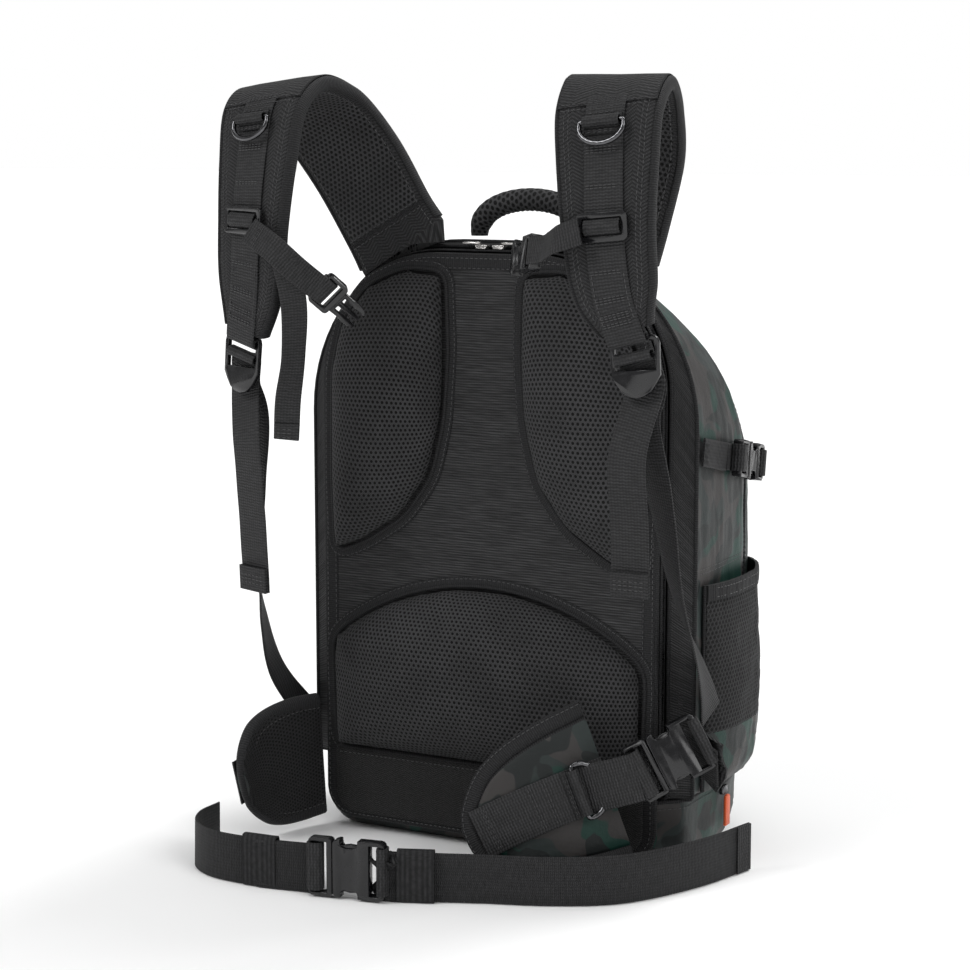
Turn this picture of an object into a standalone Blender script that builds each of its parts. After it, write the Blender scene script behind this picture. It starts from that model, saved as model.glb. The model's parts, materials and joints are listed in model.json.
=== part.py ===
"""Tackle backpack: a padded pack with shoulder straps, a sternum strap and a buckled waist belt.

Metres, +Z up. The origin is the middle of the base, on the floor. The wearer's side faces -Y,
the front pocket faces +Y, and left and right are as seen by someone who looks along +Y.
"""

import math

import bmesh
import bpy
from mathutils import Matrix, Vector

# ---------------------------------------------------------------- driving dimensions
HALF_WIDTH = 0.150  # of the pack at the back panel
HEIGHT = 0.478  # of the pack at the back panel
BACK_Y = -0.0993  # rear opening of the bag, which the back panel closes
BASE_HEIGHT = 0.058  # of the base compartment
WALL = 0.003  # padded fabric wall
GAP = 0.0003  # between pieces that touch
SIGNS = {"left": -1, "right": 1}
TOP_CORNER = 0.105  # radius of the pack's upper corners
SHOULDER_WEB = 0.030  # webbing widths
WAIST_WEB = 0.038
STERNUM_WEB = 0.020
SIDE_WEB = 0.022
WEB = 0.0016  # webbing thickness
PAD = 0.012  # thickness of a shoulder pad
ZIP_DEPTH = 0.010  # of the zip tape round the rear opening

# y, half width, top, corner radius: the pack's outer skin, from the rear opening to the front
BODY_SECTIONS = [
    (-0.0885, 0.1530, 0.4820, 0.108),
    (-0.0815, 0.1700, 0.4850, 0.140),
    (-0.0300, 0.1715, 0.4670, 0.140),
    (0.0150, 0.1700, 0.4480, 0.140),
    (0.0500, 0.1610, 0.4240, 0.135),
    (0.0760, 0.1490, 0.3900, 0.125),
    (0.0920, 0.1330, 0.3450, 0.105),
    (0.0980, 0.1100, 0.3000, 0.080),
]
BASE_INSET = 0.008  # of the base compartment under the bag

# name: base colour, roughness, metallic
MATERIALS = {
    "air_mesh": ((0.022, 0.023, 0.025), 0.85, 0.0),
    "ribbed": ((0.045, 0.046, 0.048), 0.75, 0.0),
    "twill": ((0.030, 0.031, 0.033), 0.80, 0.0),
    "camo": ((0.040, 0.062, 0.056), 0.55, 0.0),
    "webbing": ((0.028, 0.029, 0.031), 0.78, 0.0),
    "acetal": ((0.016, 0.016, 0.017), 0.35, 0.0),
    "black_metal": ((0.050, 0.050, 0.052), 0.32, 1.0),
    "zip_metal": ((0.700, 0.680, 0.660), 0.30, 1.0),
    "orange_cord": ((0.900, 0.180, 0.020), 0.55, 0.0),
}


# ---------------------------------------------------------------- making objects
def material(name):
    found = bpy.data.materials.get(name)
    if found:
        return found
    colour, roughness, metallic = MATERIALS[name]
    made = bpy.data.materials.new(name)
    made.use_nodes = True
    shader = made.node_tree.nodes["Principled BSDF"]
    shader.inputs["Base Color"].default_value = (*colour, 1.0)
    shader.inputs["Roughness"].default_value = roughness
    shader.inputs["Metallic"].default_value = metallic
    return made


def finish(name, bm, finish_name, smooth_deg=40):
    """Closes a bmesh into an object in the scene, with its faces pointing out."""
    bmesh.ops.recalc_face_normals(bm, faces=bm.faces)
    mesh = bpy.data.meshes.new(name)
    bm.to_mesh(mesh)
    bm.free()
    mesh.materials.append(material(finish_name))
    mesh.shade_smooth()
    mesh.set_sharp_from_angle(angle=math.radians(smooth_deg))
    obj = bpy.data.objects.new(name, mesh)
    bpy.context.scene.collection.objects.link(obj)
    return obj


def bridge(bm, ring_a, ring_b):
    count = len(ring_a)
    for i in range(count):
        j = (i + 1) % count
        bm.faces.new((ring_a[i], ring_a[j], ring_b[j], ring_b[i]))


def strip_cap(bm, ring):
    """Closes the end of a wide, thin ring with faces from one broad side to the other."""
    count = len(ring)
    for i in range(1, count // 2):
        bm.faces.new((ring[i], ring[i + 1], ring[-i % count], ring[(1 - i) % count]))


def loft(name, rings, finish_name, loop=False, strips=False):
    """A solid through closed rings of points, with flat ends, or joined end to end in a loop."""
    bm = bmesh.new()
    made = [[bm.verts.new(p) for p in ring] for ring in rings]
    for ring_a, ring_b in zip(made, made[1:]):
        bridge(bm, ring_a, ring_b)
    if loop:
        bridge(bm, made[-1], made[0])
    elif strips:
        strip_cap(bm, made[0])
        strip_cap(bm, made[-1])
    else:
        bm.faces.new(made[0])
        bm.faces.new(made[-1])
    return finish(name, bm, finish_name)


def cup(name, outer, inner, finish_name):
    """A hollow wall between two lofts that are both open at their first ring."""
    bm = bmesh.new()
    out = [[bm.verts.new(p) for p in ring] for ring in outer]
    ins = [[bm.verts.new(p) for p in ring] for ring in inner]
    for rings in (out, ins):
        for ring_a, ring_b in zip(rings, rings[1:]):
            bridge(bm, ring_a, ring_b)
        bm.faces.new(rings[-1])
    bridge(bm, out[0], ins[0])
    return finish(name, bm, finish_name)


def cut(obj, cutters):
    """Takes the cutters out of obj for good, and removes them."""
    for number, cutter in enumerate(cutters):
        modifier = obj.modifiers.new(f"cut_{number}", "BOOLEAN")
        modifier.operation = "DIFFERENCE"
        modifier.object = cutter
    bpy.context.view_layer.update()
    graph = bpy.context.evaluated_depsgraph_get()
    mesh = bpy.data.meshes.new_from_object(obj.evaluated_get(graph))
    obj.modifiers.clear()
    obj.data = mesh
    for cutter in cutters:
        bpy.data.objects.remove(cutter)
    return obj


def merge(name, base, other):
    """One solid of two that overlap."""
    modifier = base.modifiers.new("merge", "BOOLEAN")
    modifier.operation = "UNION"
    modifier.object = other
    bpy.context.view_layer.update()
    graph = bpy.context.evaluated_depsgraph_get()
    mesh = bpy.data.meshes.new_from_object(base.evaluated_get(graph))
    base.modifiers.clear()
    base.data = mesh
    base.name = name
    bpy.data.objects.remove(other)
    return base


def block(name, low, high):
    """A box between two corners."""
    ring = [(low[0], low[1]), (high[0], low[1]), (high[0], high[1]), (low[0], high[1])]
    return loft(name, [[Vector((x, y, z)) for x, y in ring] for z in (low[2], high[2])], "acetal")


def plate(name, outline, low, high, finish_name):
    """An outline of (x, y) points, drawn out from z low to z high."""
    return loft(name, [[Vector((x, y, z)) for x, y in outline] for z in (low, high)], finish_name)


def basis(origin, x_axis, z_axis):
    """The placing matrix of a piece that is modelled flat: its x and z directions at origin."""
    x = Vector(x_axis).normalized()
    z = Vector(z_axis)
    z = (z - x * z.dot(x)).normalized()
    y = z.cross(x)
    placed = Matrix((x, y, z)).transposed().to_4x4()
    placed.translation = origin
    return placed


def put(obj, placing):
    obj.data.transform(placing)
    return obj


# ---------------------------------------------------------------- outlines and paths
def arc(centre, radius, start_deg, end_deg, count):
    """Points on an arc, ends included."""
    steps = [math.radians(start_deg + (end_deg - start_deg) * i / count) for i in range(count + 1)]
    return [(centre[0] + radius * math.cos(a), centre[1] + radius * math.sin(a)) for a in steps]


def rounded(half_x, half_y, radius, count=3, centre=(0.0, 0.0)):
    """A rectangle with round corners, as (x, y) points."""
    points = []
    for sign_x, sign_y, start in ((1, 1, 0), (-1, 1, 90), (-1, -1, 180), (1, -1, 270)):
        corner = (centre[0] + sign_x * (half_x - radius), centre[1] + sign_y * (half_y - radius))
        points += arc(corner, radius, start, start + 90, count)
    return points


def arch(half_width, low, high, corner, foot):
    """The pack's outline, as (x, z) points: wide round corners above and small ones below."""
    left, right = -half_width, half_width
    points = arc((right - foot, low + foot), foot, -90, 0, 3)
    points += arc((right - corner, high - corner), corner, 0, 90, 8)
    points += arc((left + corner, high - corner), corner, 90, 180, 8)
    points += arc((left + foot, low + foot), foot, 180, 270, 3)
    return points


def upright(outline, y):
    return [Vector((x, y, z)) for x, z in outline]


def skin(y, half_width, high, corner, inset=0.0):
    """One ring of the bag's skin above the base compartment."""
    low = BASE_HEIGHT + GAP + inset
    return upright(arch(half_width - inset, low, high - inset, corner - inset, 0.004), y)


def smooth_curve(points, per_span):
    """A Catmull-Rom curve through the points."""
    points = [Vector(p) for p in points]
    ends = [points[0] * 2 - points[1], *points, points[-1] * 2 - points[-2]]
    made = []
    for a, b, c, d in zip(ends, ends[1:], ends[2:], ends[3:]):
        for step in range(per_span):
            t = step / per_span
            bend = (2 * a - 5 * b + 4 * c - d) * t**2
            twist = (3 * b - a - 3 * c + d) * t**3
            made.append(0.5 * (2 * b + (c - a) * t + bend + twist))
    return [*made, points[-1]]


def strap_frames(points, sides, per_span=4):
    """Along a strap: its centre, the direction of its width, and the way its outer face looks."""
    centres = smooth_curve(points, per_span)
    widths = smooth_curve(sides, per_span)
    frames = []
    for i, centre in enumerate(centres):
        along = (centres[min(i + 1, len(centres) - 1)] - centres[max(i - 1, 0)]).normalized()
        side = widths[i]
        side = (side - along * side.dot(along)).normalized()
        frames.append((centre, side, along.cross(side)))
    return frames


def section(frame, half_width, half_thick, offset=0.0, bevel=0.0):
    """The cross-section of a strap at a frame, moved off along its face by offset."""
    centre, side, out = frame
    if bevel:
        outline = [
            (half_width, -half_thick + bevel),
            (half_width, half_thick - bevel),
            *[(half_width * share, half_thick) for share in (0.93, 0.5, 0.0, -0.5, -0.93)],
            (-half_width, half_thick - bevel),
            (-half_width, -half_thick + bevel),
            *[(half_width * share, -half_thick) for share in (-0.93, -0.5, 0.0, 0.5, 0.93)],
        ]
    else:
        outline = [(half_width, -half_thick), (half_width, half_thick)]
        outline += [(-half_width, half_thick), (-half_width, -half_thick)]
    return [centre + side * a + out * (offset + b) for a, b in outline]


def web(name, frames, width, offset=0.0):
    """A run of webbing along frames."""
    return loft(name, [section(f, width / 2, WEB / 2, offset) for f in frames], "webbing")


# ---------------------------------------------------------------- the bag
def body_ring(y, inset=0.0):
    """The skin at any depth, between the stated sections."""
    for (y0, *low), (y1, *high) in zip(BODY_SECTIONS, BODY_SECTIONS[1:]):
        if y0 <= y <= y1:
            t = (y - y0) / (y1 - y0)
            half_width, top, corner = [a + (b - a) * t for a, b in zip(low, high)]
            return skin(y, half_width, top, corner, inset)
    raise ValueError(y)


def side_x(y):
    """Half width of the bag's upright sides at a depth."""
    return max(p.x for p in body_ring(y))


def make_bag():
    rear, seam = BODY_SECTIONS[0][0], BODY_SECTIONS[1][0]
    rings = [(rear, 0.0), (seam, 0.0), (seam, WALL), (rear, WALL)]
    loft("rear_gusset", [body_ring(y, inset) for y, inset in rings], "ribbed", loop=True)
    sections = [(seam + GAP, *BODY_SECTIONS[1][1:]), *BODY_SECTIONS[2:]]
    outer = [skin(*at) for at in sections]
    inner = [skin(*at, WALL) for at in sections]
    inner[1:] = [[p - Vector((0, WALL, 0)) for p in ring] for ring in inner[1:]]
    cup("main_shell", outer, inner, "camo")

    edge = [(-0.0985, HALF_WIDTH - 0.006), (-0.0885, 0.151)]
    edge += [(y, half_width - BASE_INSET) for y, half_width, *_ in BODY_SECTIONS[1:]]

    def footprint(z, inset):
        points = [(half_width - inset, y + (inset if y < 0 else -inset)) for y, half_width in edge]
        points += [(-x, y) for x, y in reversed(points)]
        return [Vector((x, y, z)) for x, y in points]

    outer = [footprint(*at) for at in ((BASE_HEIGHT, 0.0), (0.022, 0.0), (0.006, 0.004), (0.0, 0.014))]
    inner = [footprint(*at) for at in ((BASE_HEIGHT, WALL), (0.022, WALL), (WALL, 0.014))]
    cup("base_compartment", outer, inner, "camo")

    shelf = [(x, z) for x, z in ((-0.142, 0.197), (0.142, 0.197), (0.142, 0.203), (-0.142, 0.203))]
    shelf_rings = [(-0.088, 1.0), (0.040, 1.0), (0.066, 0.93), (0.082, 0.84)]
    rings = [[Vector((x * share, y, z)) for x, z in shelf] for y, share in shelf_rings]
    loft("compartment_divider", rings, "air_mesh")


def make_back_panel():
    low, high = 0.012, HEIGHT - 0.0035
    outline = arch(HALF_WIDTH - 0.0035, low, high, TOP_CORNER - 0.002, 0.022)
    loft("back_panel", [upright(outline, y) for y in (BACK_Y - 0.0042, BACK_Y)], "ribbed")

    face = BACK_Y - 0.0042 - GAP
    foot = [(0.138, 0.0700), (-0.138, 0.0700), *arc((-0.120, 0.034), 0.018, 180, 270, 3)]
    foot += arc((0.120, 0.034), 0.018, 270, 360, 3)
    loft("lower_back_panel", [upright(foot, y) for y in (face, face - 0.002)], "twill")

    lumbar = [(0.136, 0.0715), (0.139, 0.150), *arc((0.0, 0.002), 0.213, 50, 130, 10)]
    pad("lumbar_pad", [*lumbar, (-0.139, 0.150), (-0.136, 0.0715)], face, 0.020)
    upper = [
        (0.034, 0.462),
        (0.032, 0.400),
        (0.036, 0.345),
        (0.047, 0.300),
        (0.072, 0.266),
        (0.108, 0.243),
        (0.136, 0.232),
        (0.1385, 0.290),
        (0.1375, 0.380),
        (0.128, 0.420),
        (0.104, 0.450),
        (0.070, 0.464),
    ]
    pad("back_pad_right", upper, face, 0.018)
    pad("back_pad_left", [(-x, z) for x, z in reversed(upper)], face, 0.018)

    tape = upright(arch(HALF_WIDTH - 0.002, BASE_HEIGHT + 0.002, HEIGHT, TOP_CORNER, 0.0005), 0.0)
    tape = tape[3:-3]
    middle = BACK_Y + GAP + ZIP_DEPTH / 2
    frames = []
    for i, point in enumerate(tape):
        along = (tape[min(i + 1, len(tape) - 1)] - tape[max(i - 1, 0)]).normalized()
        frames.append((point + Vector((0, middle, 0)), Vector((0, 1, 0)), along.cross(Vector((0, 1, 0)))))
    loft("rear_zip_tape", [section(f, ZIP_DEPTH / 2 - GAP, 0.0011) for f in frames], "webbing")


def pad(name, outline, y, bulge):
    """A foam pad on the back panel: its outline swells and then rounds over to a crowned face."""
    middle = Vector((sum(x for x, _ in outline), 0, sum(z for _, z in outline))) / len(outline)
    rings = []
    for share, inset in ((0.0, 0.0), (0.45, 0.0), (0.85, 0.10), (1.0, 0.26)):
        ring = upright(outline, y - bulge * share)
        rings.append([p.lerp(Vector((middle.x, p.y, middle.z)), inset) for p in ring])
    return loft(name, rings, "air_mesh")


def make_front_pocket():
    """A pocket on the front of the bag, whose panel hinges at its lower edge."""
    depth = 0.1200
    outline = arch(0.090, 0.066, 0.262, 0.060, 0.022)
    inner = arch(0.0875, 0.0685, 0.2595, 0.0575, 0.0195)
    back = 0.0985
    rings = [upright(outline, back), upright(outline, depth), upright(inner, depth), upright(inner, back)]
    wall = loft("front_pocket_wall", rings, "camo", loop=True)
    skin_rings = [body_ring(y, -0.0006) for y in (0.060, 0.076, 0.092, 0.098)]
    skin_rings.append([Vector((p.x, 0.0983, p.z)) for p in body_ring(0.098, 0.001)])
    cut(wall, [loft("skin_cutter", skin_rings, "camo")])
    panel = arch(0.0905, 0.0655, 0.2625, 0.0605, 0.0225)
    face = [upright(panel, depth + 0.0006), upright(panel, depth + 0.0026)]
    crown = [Vector((x * 0.80, depth + 0.0060, 0.164 + (z - 0.164) * 0.80)) for x, z in panel]
    loft("front_pocket_panel", [*face, crown], "camo")


def make_side_pockets():
    """A stretch mesh pocket on each side: a thin bulging wall, open at the top."""
    low, rim, high = BASE_HEIGHT + 0.004, 0.2120, 0.2250
    heights = [(low, 0.001), (0.075, 0.009), (0.100, 0.013), (0.135, 0.014), (0.175, 0.012), (rim, 0.010)]
    depths = [-0.066 + 0.1320 * i / 12 for i in range(13)]

    def wall(sign, rows, thick, stand):
        rings = []
        for z, bulge in rows:
            inner, outer = [], []
            for i, y in enumerate(depths):
                swell = 1 - abs(2 * i / 12 - 1) ** 3
                x = side_x(y) + 0.0008 - stand + bulge * swell
                inner.append(Vector((sign * x, y, z)))
                outer.append(Vector((sign * (x + thick), y, z)))
            rings.append([*inner, *reversed(outer)])
        return rings

    for side, sign in SIGNS.items():
        loft(f"side_pocket_{side}", wall(sign, heights, 0.002, 0.0), "air_mesh")
        binding = [(rim + GAP, 0.010), (high, 0.0095)]
        loft(f"pocket_binding_{side}", wall(sign, binding, 0.003, 0.0005), "webbing")


# ---------------------------------------------------------------- buckles and metal
def buckle_female(name, width):
    """The socket half. The mouth looks along -x, the strap bar is at the +x end."""
    half = width / 2 + 0.0035
    body = rounded(0.0205, half, 0.004, 3, (0.0205, 0.0))
    shape = plate(name, body, -0.0045, 0.0045, "acetal")
    cutters = [
        block("socket", (-0.001, -half + 0.0035, -0.0028), (0.0255, half - 0.0035, 0.0028)),
        block("bar_slot", (0.0290, -width / 2 - 0.0005, -0.01), (0.0365, width / 2 + 0.0005, 0.01)),
    ]
    for sign in (-1, 1):
        window = rounded(0.0070, 0.0055, 0.0040, 3, (0.0130, sign * (half - 0.0010)))
        cutters.append(plate(f"window_{sign}", window, -0.01, 0.01, "acetal"))
    return cut(shape, cutters)


def buckle_male(name, width, bars=2):
    """The pronged half. Two sprung arms and a guide run along +x into the socket."""
    half = width / 2 + 0.0035
    inner = half - 0.0040
    points = [(-0.0040, -inner), (0.0090, -inner + 0.0006), (0.0130, -inner - 0.0002)]
    points += [(0.0195, -inner + 0.0004), (0.0235, -inner + 0.0030), (0.0225, -inner + 0.0045)]
    points += [(0.0120, -inner + 0.0042), (0.0025, -inner + 0.0038), (0.0025, -0.0020), (0.0220, -0.0014)]
    outline = [*points, *[(x, -y) for x, y in reversed(points)]]
    prongs = plate(name, outline, -0.0022, 0.0022, "acetal")
    base = plate("base", rounded(0.0095, half, 0.003, 3, (-0.0105 + 0.0005, 0.0)), -0.0040, 0.0040, "acetal")
    merge(name, prongs, base)
    room = 0.0140 / bars - 0.0015
    cutters = []
    for bar in range(bars):
        start = -0.0175 + bar * (room + 0.0020)
        low = (start, -width / 2 - 0.0005, -0.01)
        cutters.append(block(f"slot_{bar}", low, (start + room, width / 2 + 0.0005, 0.01)))
    return cut(prongs, cutters)


def ladder_lock(name):
    """The adjuster under a shoulder pad: two slots round a toothed bar, and a lip to lift."""
    outline = [*arc((0.013, 0.013), 0.006, 0, 90, 3), *arc((-0.013, 0.013), 0.006, 90, 180, 3)]
    outline += [(-0.0185, -0.010), *arc((0.0, -0.0100), 0.0160, 205, 335, 6), (0.0185, -0.010)]
    lock = plate(name, outline, -0.0020, 0.0020, "acetal")
    cutters = []
    for low, high in ((0.0060, 0.0145), (-0.0060, 0.0020)):
        cutters.append(block(f"slot{low}", (-0.0156, low, -0.01), (0.0156, high, 0.01)))
    return cut(lock, cutters)


def slider_frame(name, width, height):
    """A rectangular slide that webbing weaves through."""
    outer = plate(name, rounded(width / 2 + 0.0045, height / 2 + 0.0040, 0.004), -0.0016, 0.0016, "acetal")
    window = rounded(width / 2 + 0.0005, height / 2, 0.001)
    return cut(outer, [plate("window", window, -0.01, 0.01, "acetal")])


def d_ring(name, width, wire):
    """A D of round wire in the x y plane: a straight bar along x at y 0, and a bow below it."""
    half = width / 2 + wire
    path = [(-half, 0.0), (-half / 2, 0.0), (0.0, 0.0), (half / 2, 0.0), (half, 0.0)]
    path += arc((half - 0.004, -0.004), 0.004, 60, 0, 2)[1:]
    path += [(half * math.cos(a), -0.004 - 0.75 * half * math.sin(a)) for a in
             [math.radians(180 * i / 12) for i in range(1, 12)]]
    path += arc((-half + 0.004, -0.004), 0.004, 180, 120, 2)[:-1]
    rings = []
    count = len(path)
    for i, (x, y) in enumerate(path):
        before, after = path[i - 1], path[(i + 1) % count]
        along = Vector((after[0] - before[0], after[1] - before[1], 0)).normalized()
        side = Vector((along.y, -along.x, 0))
        ring = []
        for k in range(8):
            a = math.radians(45 * k + 22.5)
            ring.append(Vector((x, y, 0)) + side * (wire * math.cos(a)) + Vector((0, 0, wire * math.sin(a))))
        rings.append(ring)
    return loft(name, rings, "black_metal", loop=True)


def keeper_loop(name, frame, width, height, thick, length):
    """A band round a bar: a flat tube of inner size width by height."""
    centre, side, out = frame
    along = side.cross(out)
    rings = []
    for grow, shift in ((0.0, -1), (thick, -1), (thick, 1), (0.0, 1)):
        half_w, half_h = width / 2 + grow, height / 2 + grow
        corners = ((half_w, -half_h), (half_w, half_h), (-half_w, half_h), (-half_w, -half_h))
        rings.append([centre + side * a + out * b + along * (shift * length / 2) for a, b in corners])
    return loft(name, rings, "webbing", loop=True)


# ---------------------------------------------------------------- shoulder straps
# Centre line of each shoulder pad, from the seam on the pack up, over and down, and its width direction.
SHOULDERS = {
    "left": {
        "points": [
            (-0.0780, -0.0925, 0.4770),
            (-0.0920, -0.0940, 0.5000),
            (-0.1160, -0.1020, 0.5450),
            (-0.1380, -0.1220, 0.5840),
            (-0.1460, -0.1560, 0.6010),
            (-0.1460, -0.1860, 0.5850),
            (-0.1450, -0.1990, 0.5450),
            (-0.1460, -0.2050, 0.5000),
            (-0.1500, -0.2030, 0.4550),
            (-0.1580, -0.1970, 0.4180),
        ],
        "sides": [
            (0.920, 0.000, 0.390),
            (0.900, 0.000, 0.430),
            (0.910, 0.020, 0.400),
            (0.950, 0.000, 0.250),
            (0.980, -0.100, 0.120),
            (0.975, -0.180, 0.040),
            (0.970, -0.220, 0.000),
            (0.970, -0.240, 0.000),
            (0.970, -0.240, 0.000),
            (0.970, -0.240, 0.000),
        ],
        "lower": [
            (-0.1610, -0.1830, 0.3500),
            (-0.1670, -0.1740, 0.3000),
            (-0.1780, -0.1560, 0.2150),
            (-0.1850, -0.1260, 0.1400),
            (-0.1780, -0.0860, 0.0880),
        ],
        "lower_sides": [
            (0.970, -0.240, 0.000),
            (0.900, -0.440, 0.000),
            (0.600, -0.800, 0.000),
            (0.250, -0.960, 0.000),
            (0.060, -0.990, 0.000),
        ],
        "tail": [
            (-0.1590, -0.2020, 0.3610),
            (-0.1590, -0.1990, 0.3300),
            (-0.1590, -0.1920, 0.2700),
            (-0.1600, -0.1870, 0.2120),
        ],
    },
    "right": {
        "points": [
            (0.0970, -0.0925, 0.4760),
            (0.1090, -0.0930, 0.5100),
            (0.1220, -0.0990, 0.5560),
            (0.1290, -0.1220, 0.5900),
            (0.1360, -0.1540, 0.6020),
            (0.1410, -0.1820, 0.5820),
            (0.1450, -0.1930, 0.5450),
            (0.1490, -0.1990, 0.5000),
            (0.1540, -0.1980, 0.4580),
            (0.1610, -0.1930, 0.4300),
        ],
        "sides": [
            (0.920, 0.000, -0.390),
            (0.950, 0.000, -0.300),
            (0.985, 0.000, -0.150),
            (1.000, 0.000, -0.060),
            (1.000, 0.000, 0.000),
            (1.000, 0.020, 0.020),
            (1.000, 0.020, 0.030),
            (1.000, 0.020, 0.060),
            (0.990, 0.000, 0.120),
            (0.985, 0.000, 0.160),
        ],
        "lower": [
            (0.1660, -0.1790, 0.3620),
            (0.1740, -0.1640, 0.3100),
            (0.1790, -0.1360, 0.2250),
            (0.1810, -0.0950, 0.1640),
            (0.1800, -0.0740, 0.1270),
        ],
        "lower_sides": [
            (0.980, 0.060, 0.160),
            (0.900, -0.440, 0.000),
            (0.620, -0.780, 0.000),
            (0.240, -0.970, 0.000),
            (-0.080, -0.990, 0.000),
        ],
        "tail": [
            (0.1630, -0.1975, 0.3730),
            (0.1630, -0.1950, 0.3400),
            (0.1625, -0.1890, 0.2900),
            (0.1620, -0.1840, 0.2360),
        ],
    },
}
PER_SPAN = 4
D_RING_AT = 5.30  # places along a shoulder pad, counted in its points
SLIDER_AT = 6.95
# Half width of a shoulder pad at each of its points.
PAD_HALVES = [0.042, 0.040, 0.040, 0.040, 0.040, 0.039, 0.037, 0.034, 0.031, 0.020]


def frame_at(frames, place):
    """The frame at a place that is counted in control points."""
    position = min(place * PER_SPAN, len(frames) - 1.001)
    index = int(position)
    share = position - index
    mixed = [a.lerp(b, share) for a, b in zip(frames[index], frames[index + 1])]
    return mixed[0], mixed[1].normalized(), mixed[2].normalized()


def shoulder_frames(side):
    strap = SHOULDERS[side]
    return strap_frames(strap["points"], strap["sides"], PER_SPAN)


def lower_frames(side):
    strap = SHOULDERS[side]
    return strap_frames(strap["lower"], strap["lower_sides"], 5)


def tail_frames(side):
    strap = SHOULDERS[side]
    width = strap["sides"][-1]
    return strap_frames(strap["tail"], [width] * len(strap["tail"]), 4)


def arch_top(x):
    """Height of the pack's top where a shoulder pad is sewn on."""
    corner = 0.1090
    beyond = max(0.0, abs(x) - 0.0450)
    return 0.4838 - corner + math.sqrt(corner**2 - beyond**2)


def downward(width, out):
    """The way down along a strap whose width and outward directions are these."""
    along = width.cross(out)
    return along if along.z < 0 else -along


RING_STAND = PAD / 2 + GAP + WEB + 0.0044  # of a D ring's bar, off the middle of the pad
LOCK_DROP = 0.0240  # from the pad's end down to the middle of its ladder lock


def make_shoulder(side):
    frames = shoulder_frames(side)
    halves = smooth_curve([(half, 0, 0) for half in PAD_HALVES], PER_SPAN)
    rings = [section(f, half.x, PAD / 2, 0.0, 0.0025) for f, half in zip(frames, halves)]
    rings[0] = [Vector((p.x, p.y, arch_top(p.x))) for p in rings[0]]
    loft(f"shoulder_pad_{side}", rings, "twill", strips=True)

    face = PAD / 2 + GAP + WEB / 2
    end, width, out = frames[-1]
    down = downward(width, out)
    loop_end = (end + down * 0.0095 - out * 0.0006, width, out)
    webbing = web("webbing", [*frames[19:], loop_end], SHOULDER_WEB, face)

    centre, width, out = frame_at(frames, D_RING_AT)
    ring_centre = centre + out * RING_STAND
    put(d_ring(f"d_ring_{side}", SHOULDER_WEB, 0.0021), basis(ring_centre, width, out))
    around = (ring_centre, width.cross(out), out)
    tab = keeper_loop("tab", around, 0.0056, 0.0056, 0.0018, SHOULDER_WEB - 0.002)
    merge(f"shoulder_webbing_{side}", webbing, tab)

    centre, width, out = frame_at(frames, SLIDER_AT)
    level = centre + out * (PAD / 2 + GAP + WEB + 0.0026)
    put(slider_frame(f"sternum_slider_{side}", SHOULDER_WEB, 0.013), basis(level, width, out))

    lower, tail = lower_frames(side), tail_frames(side)
    web(f"lower_webbing_{side}", lower, SHOULDER_WEB)
    web(f"webbing_tail_{side}", tail, SHOULDER_WEB)
    lock_centre = end + out * 0.0020 + down * LOCK_DROP
    put(ladder_lock(f"ladder_lock_{side}"), basis(lock_centre, width, out))


def make_sternum_strap():
    """Each half hangs from its slider: prongs and a tail on the left, the socket on the right."""
    left = strap_frames(STERNUM_LEFT, [(0.45, 0.25, 0.86)] * len(STERNUM_LEFT), 3)
    tail = strap_frames(STERNUM_TAIL, STERNUM_TAIL_SIDES, 4)
    merge("sternum_webbing_left", web("run", left, STERNUM_WEB), web("tail", tail, STERNUM_WEB))
    right = strap_frames(STERNUM_RIGHT, [(0.10, 0.20, 0.97)] * len(STERNUM_RIGHT), 3)
    web("sternum_webbing_right", right, STERNUM_WEB)
    put(buckle_male("sternum_buckle_male", STERNUM_WEB, 1), STERNUM_MALE)
    put(buckle_female("sternum_buckle_female", STERNUM_WEB), STERNUM_FEMALE)


STERNUM_LEFT = [
    (-0.1370, -0.2240, 0.4960),
    (-0.1130, -0.2290, 0.4830),
    (-0.1000, -0.2190, 0.4680),
    (-0.0925, -0.2070, 0.4570),
]
STERNUM_TAIL = [
    (-0.1065, -0.2235, 0.4750),
    (-0.1070, -0.2100, 0.4400),
    (-0.1130, -0.2020, 0.4000),
    (-0.1210, -0.1980, 0.3650),
    (-0.1240, -0.1960, 0.3350),
]
STERNUM_TAIL_SIDES = [
    (0.95, 0.30, 0.10),
    (0.80, 0.60, 0.00),
    (0.55, 0.83, 0.00),
    (0.80, 0.60, 0.00),
    (0.95, 0.30, 0.00),
]
STERNUM_RIGHT = [
    (0.1350, -0.2170, 0.5000),
    (0.1170, -0.2160, 0.4940),
    (0.1040, -0.2060, 0.4890),
    (0.0950, -0.1970, 0.4860),
]
STERNUM_MALE = basis((-0.0820, -0.1880, 0.4420), (0.45, 0.62, -0.64), (0.55, -0.78, -0.30))
STERNUM_FEMALE = basis((0.0560, -0.1600, 0.4760), (0.74, -0.64, 0.18), (-0.50, -0.80, 0.20))


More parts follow.
